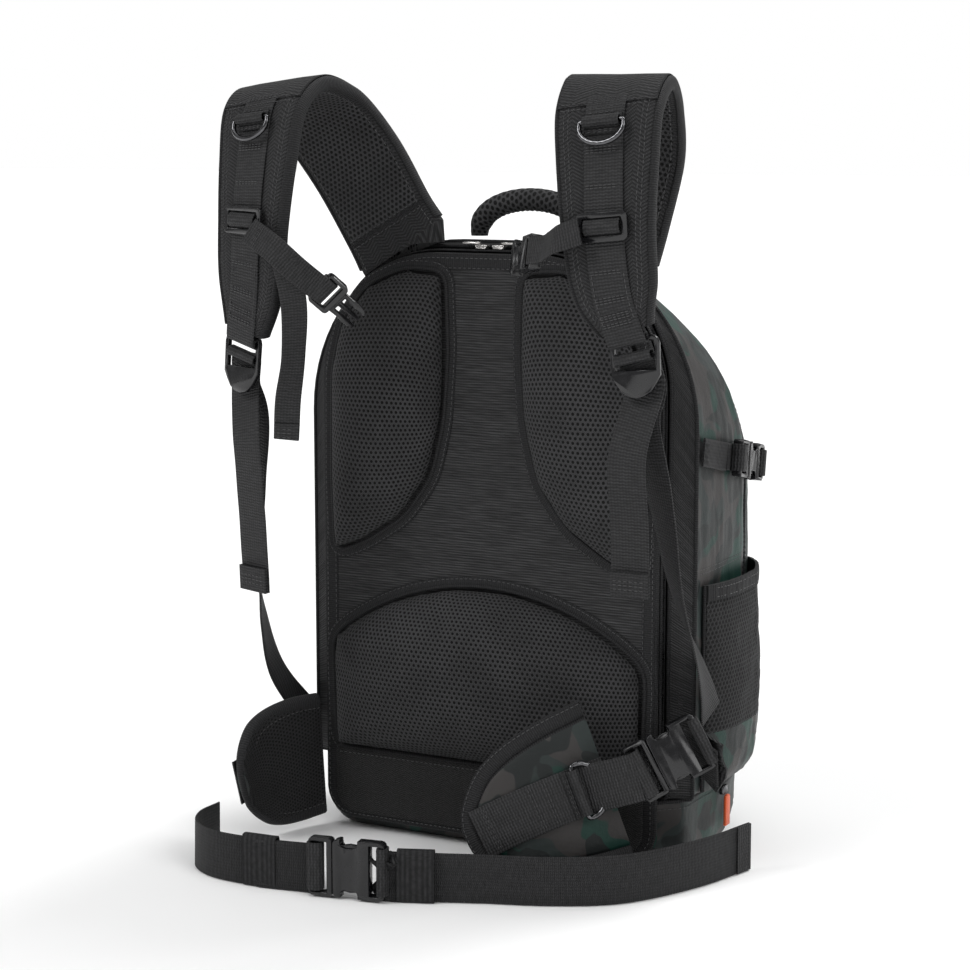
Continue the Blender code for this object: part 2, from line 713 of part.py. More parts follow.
# ---------------------------------------------------------------- waist belt
WINGS = {
    "left": {
        "points": [
            (-0.1520, -0.1080, 0.0620),
            (-0.1630, -0.1320, 0.0600),
            (-0.1730, -0.1570, 0.0560),
            (-0.1790, -0.1820, 0.0500),
        ],
        "sides": [(0.02, 0.00, 1.00), (0.02, 0.00, 1.00), (0.00, 0.05, 1.00), (0.00, 0.10, 1.00)],
        "half_widths": [0.050, 0.051, 0.046, 0.032],
    },
    "right": {
        "points": [
            (0.1240, -0.1420, 0.0840),
            (0.1010, -0.1640, 0.0740),
            (0.0730, -0.1820, 0.0600),
            (0.0450, -0.1960, 0.0440),
        ],
        "sides": [(-0.24, 0.06, 0.96), (-0.24, 0.08, 0.96), (-0.30, 0.10, 0.94), (-0.36, 0.12, 0.92)],
        "half_widths": [0.053, 0.049, 0.040, 0.021],
    },
}
WING_THICK = 0.010
WING_GAP = 0.0010  # the wing twists, so its webbing stands off it a little
# The front run of the belt stands on edge on the floor. Its points are (x, y); z is half the webbing.
BELT_Z = 0.0195
BELT_RIGHT = [
    (-0.0010, -0.2460),
    (0.0540, -0.2240),
    (0.1050, -0.2040),
    (0.1520, -0.1730),
    (0.1860, -0.1160),
    (0.2050, -0.0520),
]
BELT_LEFT = [
    (-0.0740, -0.2590),
    (-0.1100, -0.2650),
    (-0.1500, -0.2640),
    (-0.1770, -0.2500),
    (-0.1910, -0.2260),
    (-0.1920, -0.1980),
]
BUCKLE_ALONG = Vector((0.985, 0.175, 0.0)).normalized()
BUCKLE_OUT = Vector((0.175, -0.985, 0.0)).normalized()
BUCKLE_AT = Vector((-0.0450, -0.2600, BELT_Z + 0.0045))


def wing_frames(side):
    """The wing's frames with the outward way away from the wearer."""
    wing = WINGS[side]
    frames = strap_frames(wing["points"], wing["sides"], 4)
    flip = 1 if side == "left" else -1
    return [(c, w, o * flip) for c, w, o in frames]


def make_wing(side):
    frames = wing_frames(side)
    halves = smooth_curve([(h, 0, 0) for h in WINGS[side]["half_widths"]], 4)
    rings = [section(f, h.x, WING_THICK / 2, 0.0, 0.002) for f, h in zip(frames, halves)]
    loft(f"hip_wing_{side}", rings, "air_mesh")
    return web(f"hip_webbing_{side}", frames, WAIST_WEB, WING_THICK / 2 + WING_GAP + WEB / 2)


def belt_frames(points, per_span=4):
    route = [(x, y, BELT_Z) for x, y in points]
    return strap_frames(route, [(0, 0, 1)] * len(route), per_span)


def hip_ring_centre():
    centre, _, out = wing_frames("right")[3]
    return centre + out * (WING_THICK / 2 + WING_GAP + WEB + 0.0046)


def make_waist_belt():
    make_wing("left")
    webbing = make_wing("right")
    web("waist_webbing_right", belt_frames(BELT_RIGHT), WAIST_WEB)
    web("waist_webbing_left", belt_frames(BELT_LEFT), WAIST_WEB)
    placing = basis(BUCKLE_AT, BUCKLE_ALONG, BUCKLE_OUT)
    put(buckle_female("waist_buckle_female", WAIST_WEB), placing)
    put(buckle_male("waist_buckle_male", WAIST_WEB, 1), placing)

    frames = wing_frames("right")
    centre, width, out = frames[0]
    back = (frames[0][0] - frames[1][0]).normalized()
    level = centre + out * (WING_THICK / 2 + WING_GAP + WEB + 0.0120)
    placing = basis(level + back * 0.0360, Vector((0.66, 0.62, 0.42)), out)
    put(buckle_female("hip_buckle_female_right", WAIST_WEB), placing)
    put(buckle_male("hip_buckle_male_right", WAIST_WEB, 2), placing)

    start = placing @ Vector((0.0450, 0.0, -0.0010))
    across = placing.to_3x3() @ Vector((0.0, 1.0, 0.0))
    across = across if across.z > 0 else -across
    end = Vector((0.1810, -0.0925, 0.0830))
    middle = start.lerp(end, 0.5) + Vector((0.0045, 0.0015, 0.0))
    route = strap_frames([start, middle, end], [across, across.lerp(Vector((0, 0, 1)), 0.5), (0, 0, 1)], 3)
    web("hip_anchor_webbing", route, WAIST_WEB)

    width, out = frames[3][1:]
    ring_centre = hip_ring_centre()
    toward_root = (frames[2][0] - frames[4][0]).normalized()
    placing = basis(ring_centre, width, out) @ spin_to(width, out, toward_root)
    put(d_ring("hip_d_ring", WAIST_WEB, 0.0022), placing)
    around = (ring_centre, width.cross(out), out)
    tab = keeper_loop("tab", around, 0.0058, 0.0058, 0.0020, WAIST_WEB - 0.002)
    merge("hip_webbing_right", webbing, tab)


def spin_to(width, out, down):
    """Turns a D ring over, so that its bow points along down."""
    bow = -(out.cross(width))
    return Matrix.Identity(4) if bow.dot(down) > 0 else Matrix.Rotation(math.pi, 4, "Z")


# ---------------------------------------------------------------- sides, top and zips
def make_side_straps():
    """A compression strap on each side, with a small buckle where the side turns to the front."""
    for side, sign in SIGNS.items():
        path, widths = [], []
        for y in (-0.0740, -0.0620, -0.0500, -0.0400, -0.0320):
            path.append((sign * (side_x(y) + 0.0020), y, 0.3290 - (y + 0.074) * 0.20))
            widths.append((0, 0.20, 0.98))
        web(f"side_strap_{side}", strap_frames(path, widths, 2), SIDE_WEB)
        near, far = Vector((side_x(-0.0300), -0.0300, 0)), Vector((side_x(0.0300), 0.0300, 0))
        along = (far - near).normalized()
        out = Vector((along.y, -along.x, 0))
        seat = near.lerp(far, 0.38) + out * 0.0085 + Vector((0, 0, 0.3160))
        along, out, seat = [Vector((sign * v.x, v.y, v.z)) for v in (along, out, seat)]
        placing = basis(seat, along + Vector((0, 0, -0.20)), out)
        put(buckle_female(f"side_buckle_female_{side}", SIDE_WEB), placing)
        put(buckle_male(f"side_buckle_male_{side}", SIDE_WEB, 1), placing)


HANDLE_X = 0.019
HANDLE_Y = -0.062
HANDLE_FOOT_Z = 0.4880


def make_handle():
    """A padded tube that stands in an arch on the top of the pack."""
    rings = []
    radius = 0.0088
    count = 14
    for i in range(count + 1):
        a = math.pi * i / count
        centre = Vector((HANDLE_X - 0.046 * math.cos(a), HANDLE_Y, HANDLE_FOOT_Z))
        centre.z += 0.0290 * math.sin(a) ** 0.8
        ahead = Vector((0.046 * math.sin(a), 0, 0.0290 * math.cos(a))).normalized()
        if i in (0, count):
            ahead = Vector((0, 0, 1 if i == 0 else -1))
        side = ahead.cross(Vector((0, 1, 0)))
        girth = radius * (0.72 if i in (0, count) else 1.0)
        ring = []
        for k in range(8):
            b = math.radians(45 * k)
            ring.append(centre + side * (girth * math.cos(b)) + Vector((0, girth * math.sin(b), 0)))
        rings.append(ring)
    loft("grab_handle", rings, "air_mesh")


def zip_slider(name, finish_name):
    """A zip slider body in its own frame: x along the zip, z off the tape."""
    return plate(name, rounded(0.0055, 0.0036, 0.002), 0.0, 0.0032, finish_name)


def pull_tab(name, length, width, finish_name):
    """A pull that hangs along -y from an eye at its origin."""
    outline = arc((0, 0.0007 - width / 2), width / 2, 0, 180, 4)
    outline += [(-width / 2, -length), (width / 2, -length)]
    return plate(name, outline, -0.0007, 0.0007, finish_name)


ZIP_TOP_Z = HEIGHT + 0.0011
REAR_ZIP_Y = BACK_Y + GAP + ZIP_DEPTH / 2
PULL_EYE = 0.0046  # height of a pull's eye over the zip


def rear_zip_seat(side):
    return Vector((SIGNS[side] * 0.0075, REAR_ZIP_Y, ZIP_TOP_Z + GAP))


def base_zip_seat():
    y = -0.0060
    return Vector((side_x(y) - BASE_INSET + GAP, y, 0.0480))


def make_zips():
    for side, sign in SIGNS.items():
        seat = rear_zip_seat(side)
        put(zip_slider(f"rear_zip_slider_{side}", "zip_metal"), basis(seat, (1, 0, 0), (0, 0, 1)))
        eye = seat + Vector((sign * 0.0020, 0, PULL_EYE))
        pull = pull_tab(f"rear_zip_pull_{side}", 0.0140, 0.0058, "zip_metal")
        put(pull, basis(eye, (0, sign, 0), (0, 0, 1)))

    seat = base_zip_seat()
    put(zip_slider("base_zip_slider", "black_metal"), basis(seat, (0, 1, 0), (1, 0, 0)))
    pull = pull_tab("base_zip_pull", 0.0250, 0.0060, "orange_cord")
    put(pull, basis(seat + Vector((PULL_EYE, 0, -0.0040)), (0, 1, 0), (1, 0, 0)))

    face = 0.1260 + GAP
    seat = Vector((0.0, face, 0.2320))
    slider = put(zip_slider("slider", "black_metal"), basis(seat, (-1, 0, 0), (0, 1, 0)))
    pull = pull_tab("pull", 0.0250, 0.0060, "orange_cord")
    put(pull, basis(seat + Vector((0, 0.0034, -0.0010)), (-1, 0, 0), (0, 1, 0)))
    merge("front_zip_slider", slider, pull)


# ---------------------------------------------------------------- origins of the moving pieces
STRAP_ROOTS = {"left": (-0.0780, -0.0925, 0.4780), "right": (0.0970, -0.0925, 0.4780)}
WING_ROOT = (-0.1520, -0.1065, 0.0600)
FRONT_HINGE = (0.0, 0.1203, 0.0655)
LOCK_BAR = 0.0167  # from a ladder lock's middle up to the bar that holds it


def set_origin(name, at):
    """Moves a piece's origin onto the axis that it moves about, and leaves the piece where it is."""
    obj = bpy.data.objects[name]
    obj.data.transform(Matrix.Translation(-Vector(at)))
    obj.location = at


def set_origins():
    for side in SIGNS:
        for name in ("shoulder_pad", "shoulder_webbing", "webbing_tail"):
            set_origin(f"{name}_{side}", STRAP_ROOTS[side])
        frames = shoulder_frames(side)
        centre, width, out = frame_at(frames, D_RING_AT)
        set_origin(f"d_ring_{side}", centre + out * RING_STAND)
        end, width, out = frames[-1]
        down = downward(width, out)
        set_origin(f"ladder_lock_{side}", end + out * 0.0020 + down * (LOCK_DROP - LOCK_BAR))
        eye = rear_zip_seat(side) + Vector((SIGNS[side] * 0.0020, 0, PULL_EYE))
        set_origin(f"rear_zip_pull_{side}", eye)
    for name in ("hip_wing_left", "hip_webbing_left"):
        set_origin(name, WING_ROOT)
    set_origin("hip_d_ring", hip_ring_centre())
    set_origin("base_zip_pull", base_zip_seat() + Vector((PULL_EYE, 0, -0.0040)))
    set_origin("front_pocket_panel", FRONT_HINGE)
    set_origin("grab_handle", (HANDLE_X, HANDLE_Y, HANDLE_FOOT_Z))


def main():
    for obj in list(bpy.data.objects):
        bpy.data.objects.remove(obj)
    make_bag()
    make_back_panel()
    make_front_pocket()
    make_side_pockets()
    make_side_straps()
    make_handle()
    make_zips()
    for side in SIGNS:
        make_shoulder(side)
    make_sternum_strap()
    make_waist_belt()
    set_origins()


main()
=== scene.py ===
"""The looks of the tackle backpack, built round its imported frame: fabric, mesh, webbing and buckles.

Metres, +Z up. The wearer's side faces -Y. Cloth coordinates (the UV map) are in metres too, so
that every weave has its real pitch.
"""

import json
import math

import bmesh
import bpy
import numpy as np
from mathutils import Matrix, Vector, noise

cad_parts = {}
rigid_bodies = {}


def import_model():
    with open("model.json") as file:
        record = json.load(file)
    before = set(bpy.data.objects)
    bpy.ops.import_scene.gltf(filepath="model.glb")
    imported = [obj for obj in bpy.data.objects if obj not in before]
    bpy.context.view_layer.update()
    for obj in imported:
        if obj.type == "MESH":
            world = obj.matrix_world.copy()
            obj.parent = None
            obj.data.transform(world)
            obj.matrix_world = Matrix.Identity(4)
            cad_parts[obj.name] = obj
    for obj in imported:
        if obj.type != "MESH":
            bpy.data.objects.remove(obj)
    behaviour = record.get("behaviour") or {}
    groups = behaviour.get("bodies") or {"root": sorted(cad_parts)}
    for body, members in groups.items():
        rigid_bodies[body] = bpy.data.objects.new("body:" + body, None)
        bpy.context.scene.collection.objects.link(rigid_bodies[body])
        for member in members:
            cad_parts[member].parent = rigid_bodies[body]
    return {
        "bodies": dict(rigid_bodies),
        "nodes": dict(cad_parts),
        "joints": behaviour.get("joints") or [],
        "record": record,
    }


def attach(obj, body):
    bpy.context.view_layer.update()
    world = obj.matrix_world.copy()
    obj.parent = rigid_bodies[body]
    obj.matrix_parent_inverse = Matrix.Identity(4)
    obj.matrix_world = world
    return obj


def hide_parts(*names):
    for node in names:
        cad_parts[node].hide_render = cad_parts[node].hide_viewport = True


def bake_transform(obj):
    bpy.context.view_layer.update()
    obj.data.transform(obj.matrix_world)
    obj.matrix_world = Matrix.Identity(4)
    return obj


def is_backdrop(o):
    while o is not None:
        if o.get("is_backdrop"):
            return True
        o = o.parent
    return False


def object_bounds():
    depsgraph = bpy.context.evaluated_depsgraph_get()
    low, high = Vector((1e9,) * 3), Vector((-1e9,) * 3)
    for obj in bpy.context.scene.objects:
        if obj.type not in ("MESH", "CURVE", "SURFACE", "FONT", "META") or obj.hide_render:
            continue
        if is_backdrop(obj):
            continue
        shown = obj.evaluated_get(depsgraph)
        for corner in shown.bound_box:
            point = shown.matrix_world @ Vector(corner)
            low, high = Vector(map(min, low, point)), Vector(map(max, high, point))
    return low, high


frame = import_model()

cad_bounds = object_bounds()
NODES = frame["nodes"]
BODY_OF = {node: body for body, nodes in frame["record"]["behaviour"]["bodies"].items() for node in nodes}
MM = 0.001
SIGNS = {"left": -1, "right": 1}


# ---------------------------------------------------------------- materials
class Finish:
    """A material with short ways to add its nodes."""

    made = {}

    def __init__(self, name, roughness, metallic=0.0, **sockets):
        self.material = bpy.data.materials.new(name)
        self.material.use_nodes = True
        self.tree = self.material.node_tree
        self.shader = self.tree.nodes["Principled BSDF"]
        self.shader.inputs["Roughness"].default_value = roughness
        self.shader.inputs["Metallic"].default_value = metallic
        for socket, value in sockets.items():
            self.shader.inputs[socket.replace("_", " ")].default_value = value
        Finish.made[name] = self.material

    def add(self, kind, inputs=(), **settings):
        node = self.tree.nodes.new(kind)
        for key, value in settings.items():
            setattr(node, key, value)
        for key, value in dict(inputs).items():
            self.feed(node.inputs[key], value)
        return node

    def feed(self, socket, value):
        if isinstance(value, bpy.types.NodeSocket):
            self.tree.links.new(value, socket)
        elif socket.type == "VECTOR":
            socket.default_value = value[:3]
        else:
            socket.default_value = value

    def math(self, operation, *values):
        node = self.add("ShaderNodeMath", enumerate(values), operation=operation)
        return node.outputs[0]

    def vector(self, operation, a, b):
        node = self.add("ShaderNodeVectorMath", {0: a, 1: b}, operation=operation)
        return node.outputs["Value" if operation == "LENGTH" else "Vector"]

    def cloth(self):
        """Cloth coordinates in millimetres: u across, v along."""
        where = self.add("ShaderNodeTexCoord").outputs["UV"]
        return self.vector("MULTIPLY", where, (1000, 1000, 1000))

    def place(self):
        """The place on the object at rest, in millimetres."""
        where = self.add("ShaderNodeTexCoord").outputs["Object"]
        return self.vector("MULTIPLY", where, (1000, 1000, 1000))

    def part(self, vector, axis):
        return self.add("ShaderNodeSeparateXYZ", {0: vector}).outputs[axis]

    def noise(self, vector, scale, detail=2.0, stretch=(1, 1, 1)):
        scaled = self.vector("MULTIPLY", vector, tuple(scale * s for s in stretch))
        inputs = {"Vector": scaled, "Scale": 1.0, "Detail": detail}
        return self.add("ShaderNodeTexNoise", inputs).outputs[0]

    def step(self, value, low, high, to_low=0.0, to_high=1.0):
        inputs = {"Value": value, "From Min": low, "From Max": high, "To Min": to_low, "To Max": to_high}
        return self.add("ShaderNodeMapRange", inputs, interpolation_type="SMOOTHSTEP").outputs[0]

    def wave(self, value, pitch):
        """A sine of that pitch, from 0 to 1."""
        turned = self.math("MULTIPLY_ADD", value, 2 * math.pi / pitch, 0.0)
        return self.math("MULTIPLY_ADD", self.math("SINE", turned), 0.5, 0.5)

    def mix(self, share, a, b):
        node = self.add("ShaderNodeMix", {0: share}, data_type="RGBA")
        self.feed(node.inputs[6], a)
        self.feed(node.inputs[7], b)
        return node.outputs[2]

    def scaled(self, colour, factor):
        """A colour made lighter or darker by a factor that varies."""
        node = self.add("ShaderNodeVectorMath", {0: colour}, operation="SCALE")
        self.feed(node.inputs["Scale"], factor)
        return node.outputs[0]

    def colour(self, value):
        self.feed(self.shader.inputs["Base Color"], value)

    def bumps(self, *layers):
        """Layers of (height socket, height in metres)."""
        normal = None
        for height, distance in layers:
            inputs = {"Height": height, "Distance": distance, "Strength": 1.0}
            node = self.add("ShaderNodeBump", inputs)
            if normal:
                self.feed(node.inputs["Normal"], normal)
            normal = node.outputs[0]
        self.feed(self.shader.inputs["Normal"], normal)


def rgb(*values):
    return (*values, 1.0)


def hole_pattern(f, vector, pitch, radius):
    """A hexagonal net of round holes: 0 in a hole, 1 on the threads."""
    cell = (pitch, pitch * math.sqrt(3), 1.0)
    nearest = None
    for shift in (0.0, 0.5):
        at = f.vector("DIVIDE", vector, cell)
        at = f.vector("ADD", at, (shift, shift, 0.0))
        at = f.vector("FRACTION", at, (0, 0, 0))
        at = f.vector("SUBTRACT", at, (0.5, 0.5, 0.0))
        at = f.vector("MULTIPLY", at, (cell[0], cell[1], 0.0))
        distance = f.vector("LENGTH", at, (0, 0, 0))
        nearest = distance if nearest is None else f.math("MINIMUM", nearest, distance)
    return f.step(nearest, radius * 0.72, radius * 1.25)


def make_air_mesh(name, base, pitch=4.3, radius=1.45):
    """Spacer mesh: knitted threads round holes that are painted near black, as painted shade in their depth.
    """
    f = Finish(name, 0.75, Sheen_Weight=0.04, Sheen_Roughness=0.5, Specular_IOR_Level=0.25)
    cloth = f.cloth()
    threads = hole_pattern(f, cloth, pitch, radius)
    strands = f.wave(f.math("ADD", f.part(cloth, 0), f.part(cloth, 1)), 0.7)
    wear = f.noise(f.place(), 0.03, 3.0)
    light = f.math("MULTIPLY", f.step(strands, 0.0, 1.0, 0.8, 1.2), f.step(wear, 0.3, 0.7, 0.85, 1.15))
    # The holes get a near-black colour: painted shade in the hollows of the mesh, not the yarn's own colour.
    f.colour(f.mix(threads, rgb(0.0012, 0.0012, 0.0013), f.scaled(rgb(*base), light)))
    f.bumps((threads, 1.5 * MM), (strands, 0.10 * MM))


def make_ribbed():
    """Ribbed nylon: fine level ribs, broken by slubs in the yarn."""
    f = Finish("ribbed", 0.72, Sheen_Weight=0.03, Sheen_Roughness=0.4, Specular_IOR_Level=0.2)
    cloth = f.cloth()
    v = f.part(cloth, 1)
    waver = f.noise(cloth, 1.0, 1.0, (0.03, 0.2, 1.0))
    ribs = f.wave(f.math("MULTIPLY_ADD", waver, 1.6, v), 2.1)
    cross = f.wave(f.part(cloth, 0), 1.5)
    slubs = f.noise(cloth, 1.0, 2.0, (0.06, 0.9, 1.0))
    broad = f.noise(cloth, 1.0, 2.0, (0.02, 0.10, 1.0))
    light = f.math("MULTIPLY", f.step(slubs, 0.30, 0.72, 0.70, 1.45), f.step(ribs, 0.0, 1.0, 0.50, 1.25))
    light = f.math("MULTIPLY", light, f.step(broad, 0.3, 0.7, 0.88, 1.12))
    light = f.math("MULTIPLY", light, f.step(cross, 0.0, 1.0, 0.92, 1.05))
    f.colour(f.scaled(rgb(0.033, 0.033, 0.034), light))
    f.bumps((ribs, 0.34 * MM), (slubs, 0.20 * MM), (cross, 0.08 * MM))


def make_twill(name, base, roughness=0.78, pitch=2.7):
    """Ballistic nylon: coarse yarns that cross on the slant."""
    f = Finish(name, roughness, Sheen_Weight=0.03, Sheen_Roughness=0.45, Specular_IOR_Level=0.22)
    cloth = f.cloth()
    zigzag = f.math("PINGPONG", f.part(cloth, 0), 9.0)
    twill = f.wave(f.math("MULTIPLY_ADD", zigzag, 0.5, f.part(cloth, 1)), pitch)
    yarn = f.wave(f.math("SUBTRACT", f.part(cloth, 0), f.part(cloth, 1)), pitch * 0.7)
    slubs = f.noise(cloth, 0.6, 2.0)
    weave = f.math("MULTIPLY", f.step(twill, 0.1, 0.9, 0.55, 1.25), f.step(yarn, 0.0, 1.0, 0.80, 1.15))
    f.colour(f.scaled(rgb(*base), f.math("MULTIPLY", weave, f.step(slubs, 0.3, 0.7, 0.75, 1.3))))
    f.bumps((twill, 0.32 * MM), (yarn, 0.14 * MM), (f.noise(f.place(), 0.05, 3.0), 0.8 * MM))


def make_webbing(name, base, roughness=0.62, pitch=2.3):
    """Woven strap: ribs across it, and lengthwise yarns."""
    f = Finish(name, roughness, Sheen_Weight=0.03, Sheen_Roughness=0.35, Specular_IOR_Level=0.28)
    cloth = f.cloth()
    u, v = f.part(cloth, 0), f.part(cloth, 1)
    zigzag = f.math("PINGPONG", u, 2.4)
    ribs = f.wave(f.math("MULTIPLY_ADD", zigzag, 0.22, v), pitch)
    columns = f.wave(u, 2.4)
    uneven = f.noise(cloth, 1.0, 2.0, (0.12, 0.75, 1.0))
    light = f.math("MULTIPLY", f.step(ribs, 0.05, 0.95, 0.58, 1.25), f.step(columns, 0.0, 1.0, 0.82, 1.12))
    f.colour(f.scaled(rgb(*base), f.math("MULTIPLY", light, f.step(uneven, 0.3, 0.7, 0.75, 1.3))))
    f.bumps((ribs, 0.32 * MM), (columns, 0.12 * MM), (uneven, 0.14 * MM))


def make_binding():
    """Folded grosgrain tape: ribs across it."""
    f = Finish("binding", 0.74, Sheen_Weight=0.03, Sheen_Roughness=0.4, Specular_IOR_Level=0.22)
    cloth = f.cloth()
    ribs = f.wave(f.part(cloth, 1), 1.7)
    uneven = f.noise(cloth, 0.7, 2.0)
    light = f.math("MULTIPLY", f.step(ribs, 0.0, 1.0, 0.62, 1.2), f.step(uneven, 0.3, 0.7, 0.75, 1.25))
    f.colour(f.scaled(rgb(0.019, 0.019, 0.020), light))
    f.bumps((ribs, 0.24 * MM), (uneven, 0.15 * MM))


def make_camo():
    """Coated polyester with printed camouflage. The front compartment's cloth is the greener."""
    f = Finish("camo", 0.48, Specular_IOR_Level=0.3)
    place = f.place()
    warp = f.noise(place, 0.016, 2.0)
    bent = f.vector("ADD", place, f.scaled(f.add("ShaderNodeTexNoise", {
        "Vector": f.vector("MULTIPLY", place, (0.02, 0.02, 0.02)), "Scale": 1.0, "Detail": 2.0,
    }).outputs[1], 34.0))
    patches = f.noise(bent, 0.026, 1.2)
    shifted = f.vector("ADD", bent, (310.0, 120.0, 70.0))
    second = f.noise(shifted, 0.024, 1.2)
    third = f.noise(f.vector("ADD", bent, (900.0, 20.0, 410.0)), 0.034, 1.2)
    front = f.step(f.part(place, 1), 24.0, 34.0)
    brown = f.mix(front, rgb(0.040, 0.037, 0.036), rgb(0.006, 0.018, 0.013))
    sage = f.mix(front, rgb(0.022, 0.030, 0.029), rgb(0.006, 0.030, 0.021))
    teal = f.mix(front, rgb(0.009, 0.038, 0.029), rgb(0.005, 0.042, 0.028))
    dark = f.mix(front, rgb(0.012, 0.015, 0.015), rgb(0.004, 0.009, 0.008))
    look = f.mix(f.step(patches, 0.500, 0.515), brown, sage)
    look = f.mix(f.step(second, 0.545, 0.565), look, teal)
    look = f.mix(f.step(third, 0.535, 0.555), look, dark)
    yarn_a = f.wave(f.part(place, 2), 0.9)
    yarn_b = f.wave(f.math("ADD", f.part(place, 0), f.part(place, 1)), 0.9)
    weave = f.math("MULTIPLY", yarn_a, yarn_b)
    light = f.math("MULTIPLY", f.step(weave, 0.0, 1.0, 0.92, 1.1), f.step(warp, 0.3, 0.7, 0.85, 1.15))
    f.colour(f.scaled(look, light))
    creases = f.noise(place, 0.045, 4.0, (1.0, 1.0, 0.6))
    f.bumps((creases, 2.2 * MM), (weave, 0.10 * MM))


def make_acetal():
    """Moulded black plastic, a little scuffed."""
    f = Finish("acetal", 0.24, Specular_IOR_Level=0.5)
    place = f.place()
    scuff = f.noise(place, 0.12, 3.0)
    f.feed(f.shader.inputs["Roughness"], f.step(scuff, 0.35, 0.75, 0.16, 0.34))
    f.colour(f.scaled(rgb(0.009, 0.009, 0.010), f.step(scuff, 0.3, 0.7, 0.85, 1.25)))
    f.bumps((f.noise(place, 0.5, 2.0), 0.012 * MM))


def make_metal(name, colour, roughness):
    f = Finish(name, roughness, 1.0)
    place = f.place()
    scuff = f.noise(place, 0.15, 3.0)
    f.feed(f.shader.inputs["Roughness"], f.step(scuff, 0.3, 0.8, roughness * 0.7, roughness * 1.5))
    f.colour(f.scaled(rgb(*colour), f.step(scuff, 0.3, 0.7, 0.85, 1.1)))
    f.bumps((f.noise(place, 0.6, 2.0), 0.010 * MM))


def make_thread(name, base):
    f = Finish(name, 0.6, Sheen_Weight=0.15)
    twist = f.wave(f.part(f.place(), 2), 0.6)
    f.colour(f.scaled(rgb(*base), f.step(twist, 0.0, 1.0, 0.8, 1.2)))
    f.bumps((twist, 0.05 * MM))


def make_orange():
    f = Finish("orange_cord", 0.55, Sheen_Weight=0.2)
    cloth = f.place()
    braid = f.math("MULTIPLY", f.wave(f.part(cloth, 2), 1.3), f.wave(f.part(cloth, 1), 1.1))
    f.colour(f.mix(braid, rgb(0.72, 0.085, 0.012), rgb(0.95, 0.17, 0.03)))
    f.bumps((braid, 0.18 * MM))


def make_lining():
    f = Finish("lining", 0.8)
    cloth = f.place()
    weave = f.math("MULTIPLY", f.wave(f.part(cloth, 2), 1.0), f.wave(f.part(cloth, 0), 1.0))
    f.colour(f.scaled(rgb(0.018, 0.018, 0.019), f.step(weave, 0.0, 1.0, 0.8, 1.2)))
    f.bumps((weave, 0.1 * MM))


def make_materials():
    make_air_mesh("air_mesh", (0.046, 0.046, 0.048))
    make_air_mesh("wing_mesh", (0.020, 0.020, 0.021), 3.2, 1.05)
    make_air_mesh("pocket_mesh", (0.018, 0.018, 0.019), 4.0, 1.35)
    make_ribbed()
    make_twill("twill", (0.025, 0.025, 0.026))
    make_twill("panel_twill", (0.024, 0.024, 0.024), 0.85, 1.8)
    make_webbing("webbing", (0.021, 0.021, 0.022))
    make_webbing("belt", (0.018, 0.018, 0.019), 0.66, 1.5)
    make_binding()
    make_camo()
    make_acetal()
    make_metal("black_metal", (0.11, 0.11, 0.115), 0.20)
    make_metal("zip_metal", (0.72, 0.70, 0.68), 0.22)
    make_metal("zip_teeth", (0.05, 0.05, 0.052), 0.35)
    make_thread("thread", (0.045, 0.045, 0.047))
    make_orange()
    make_lining()


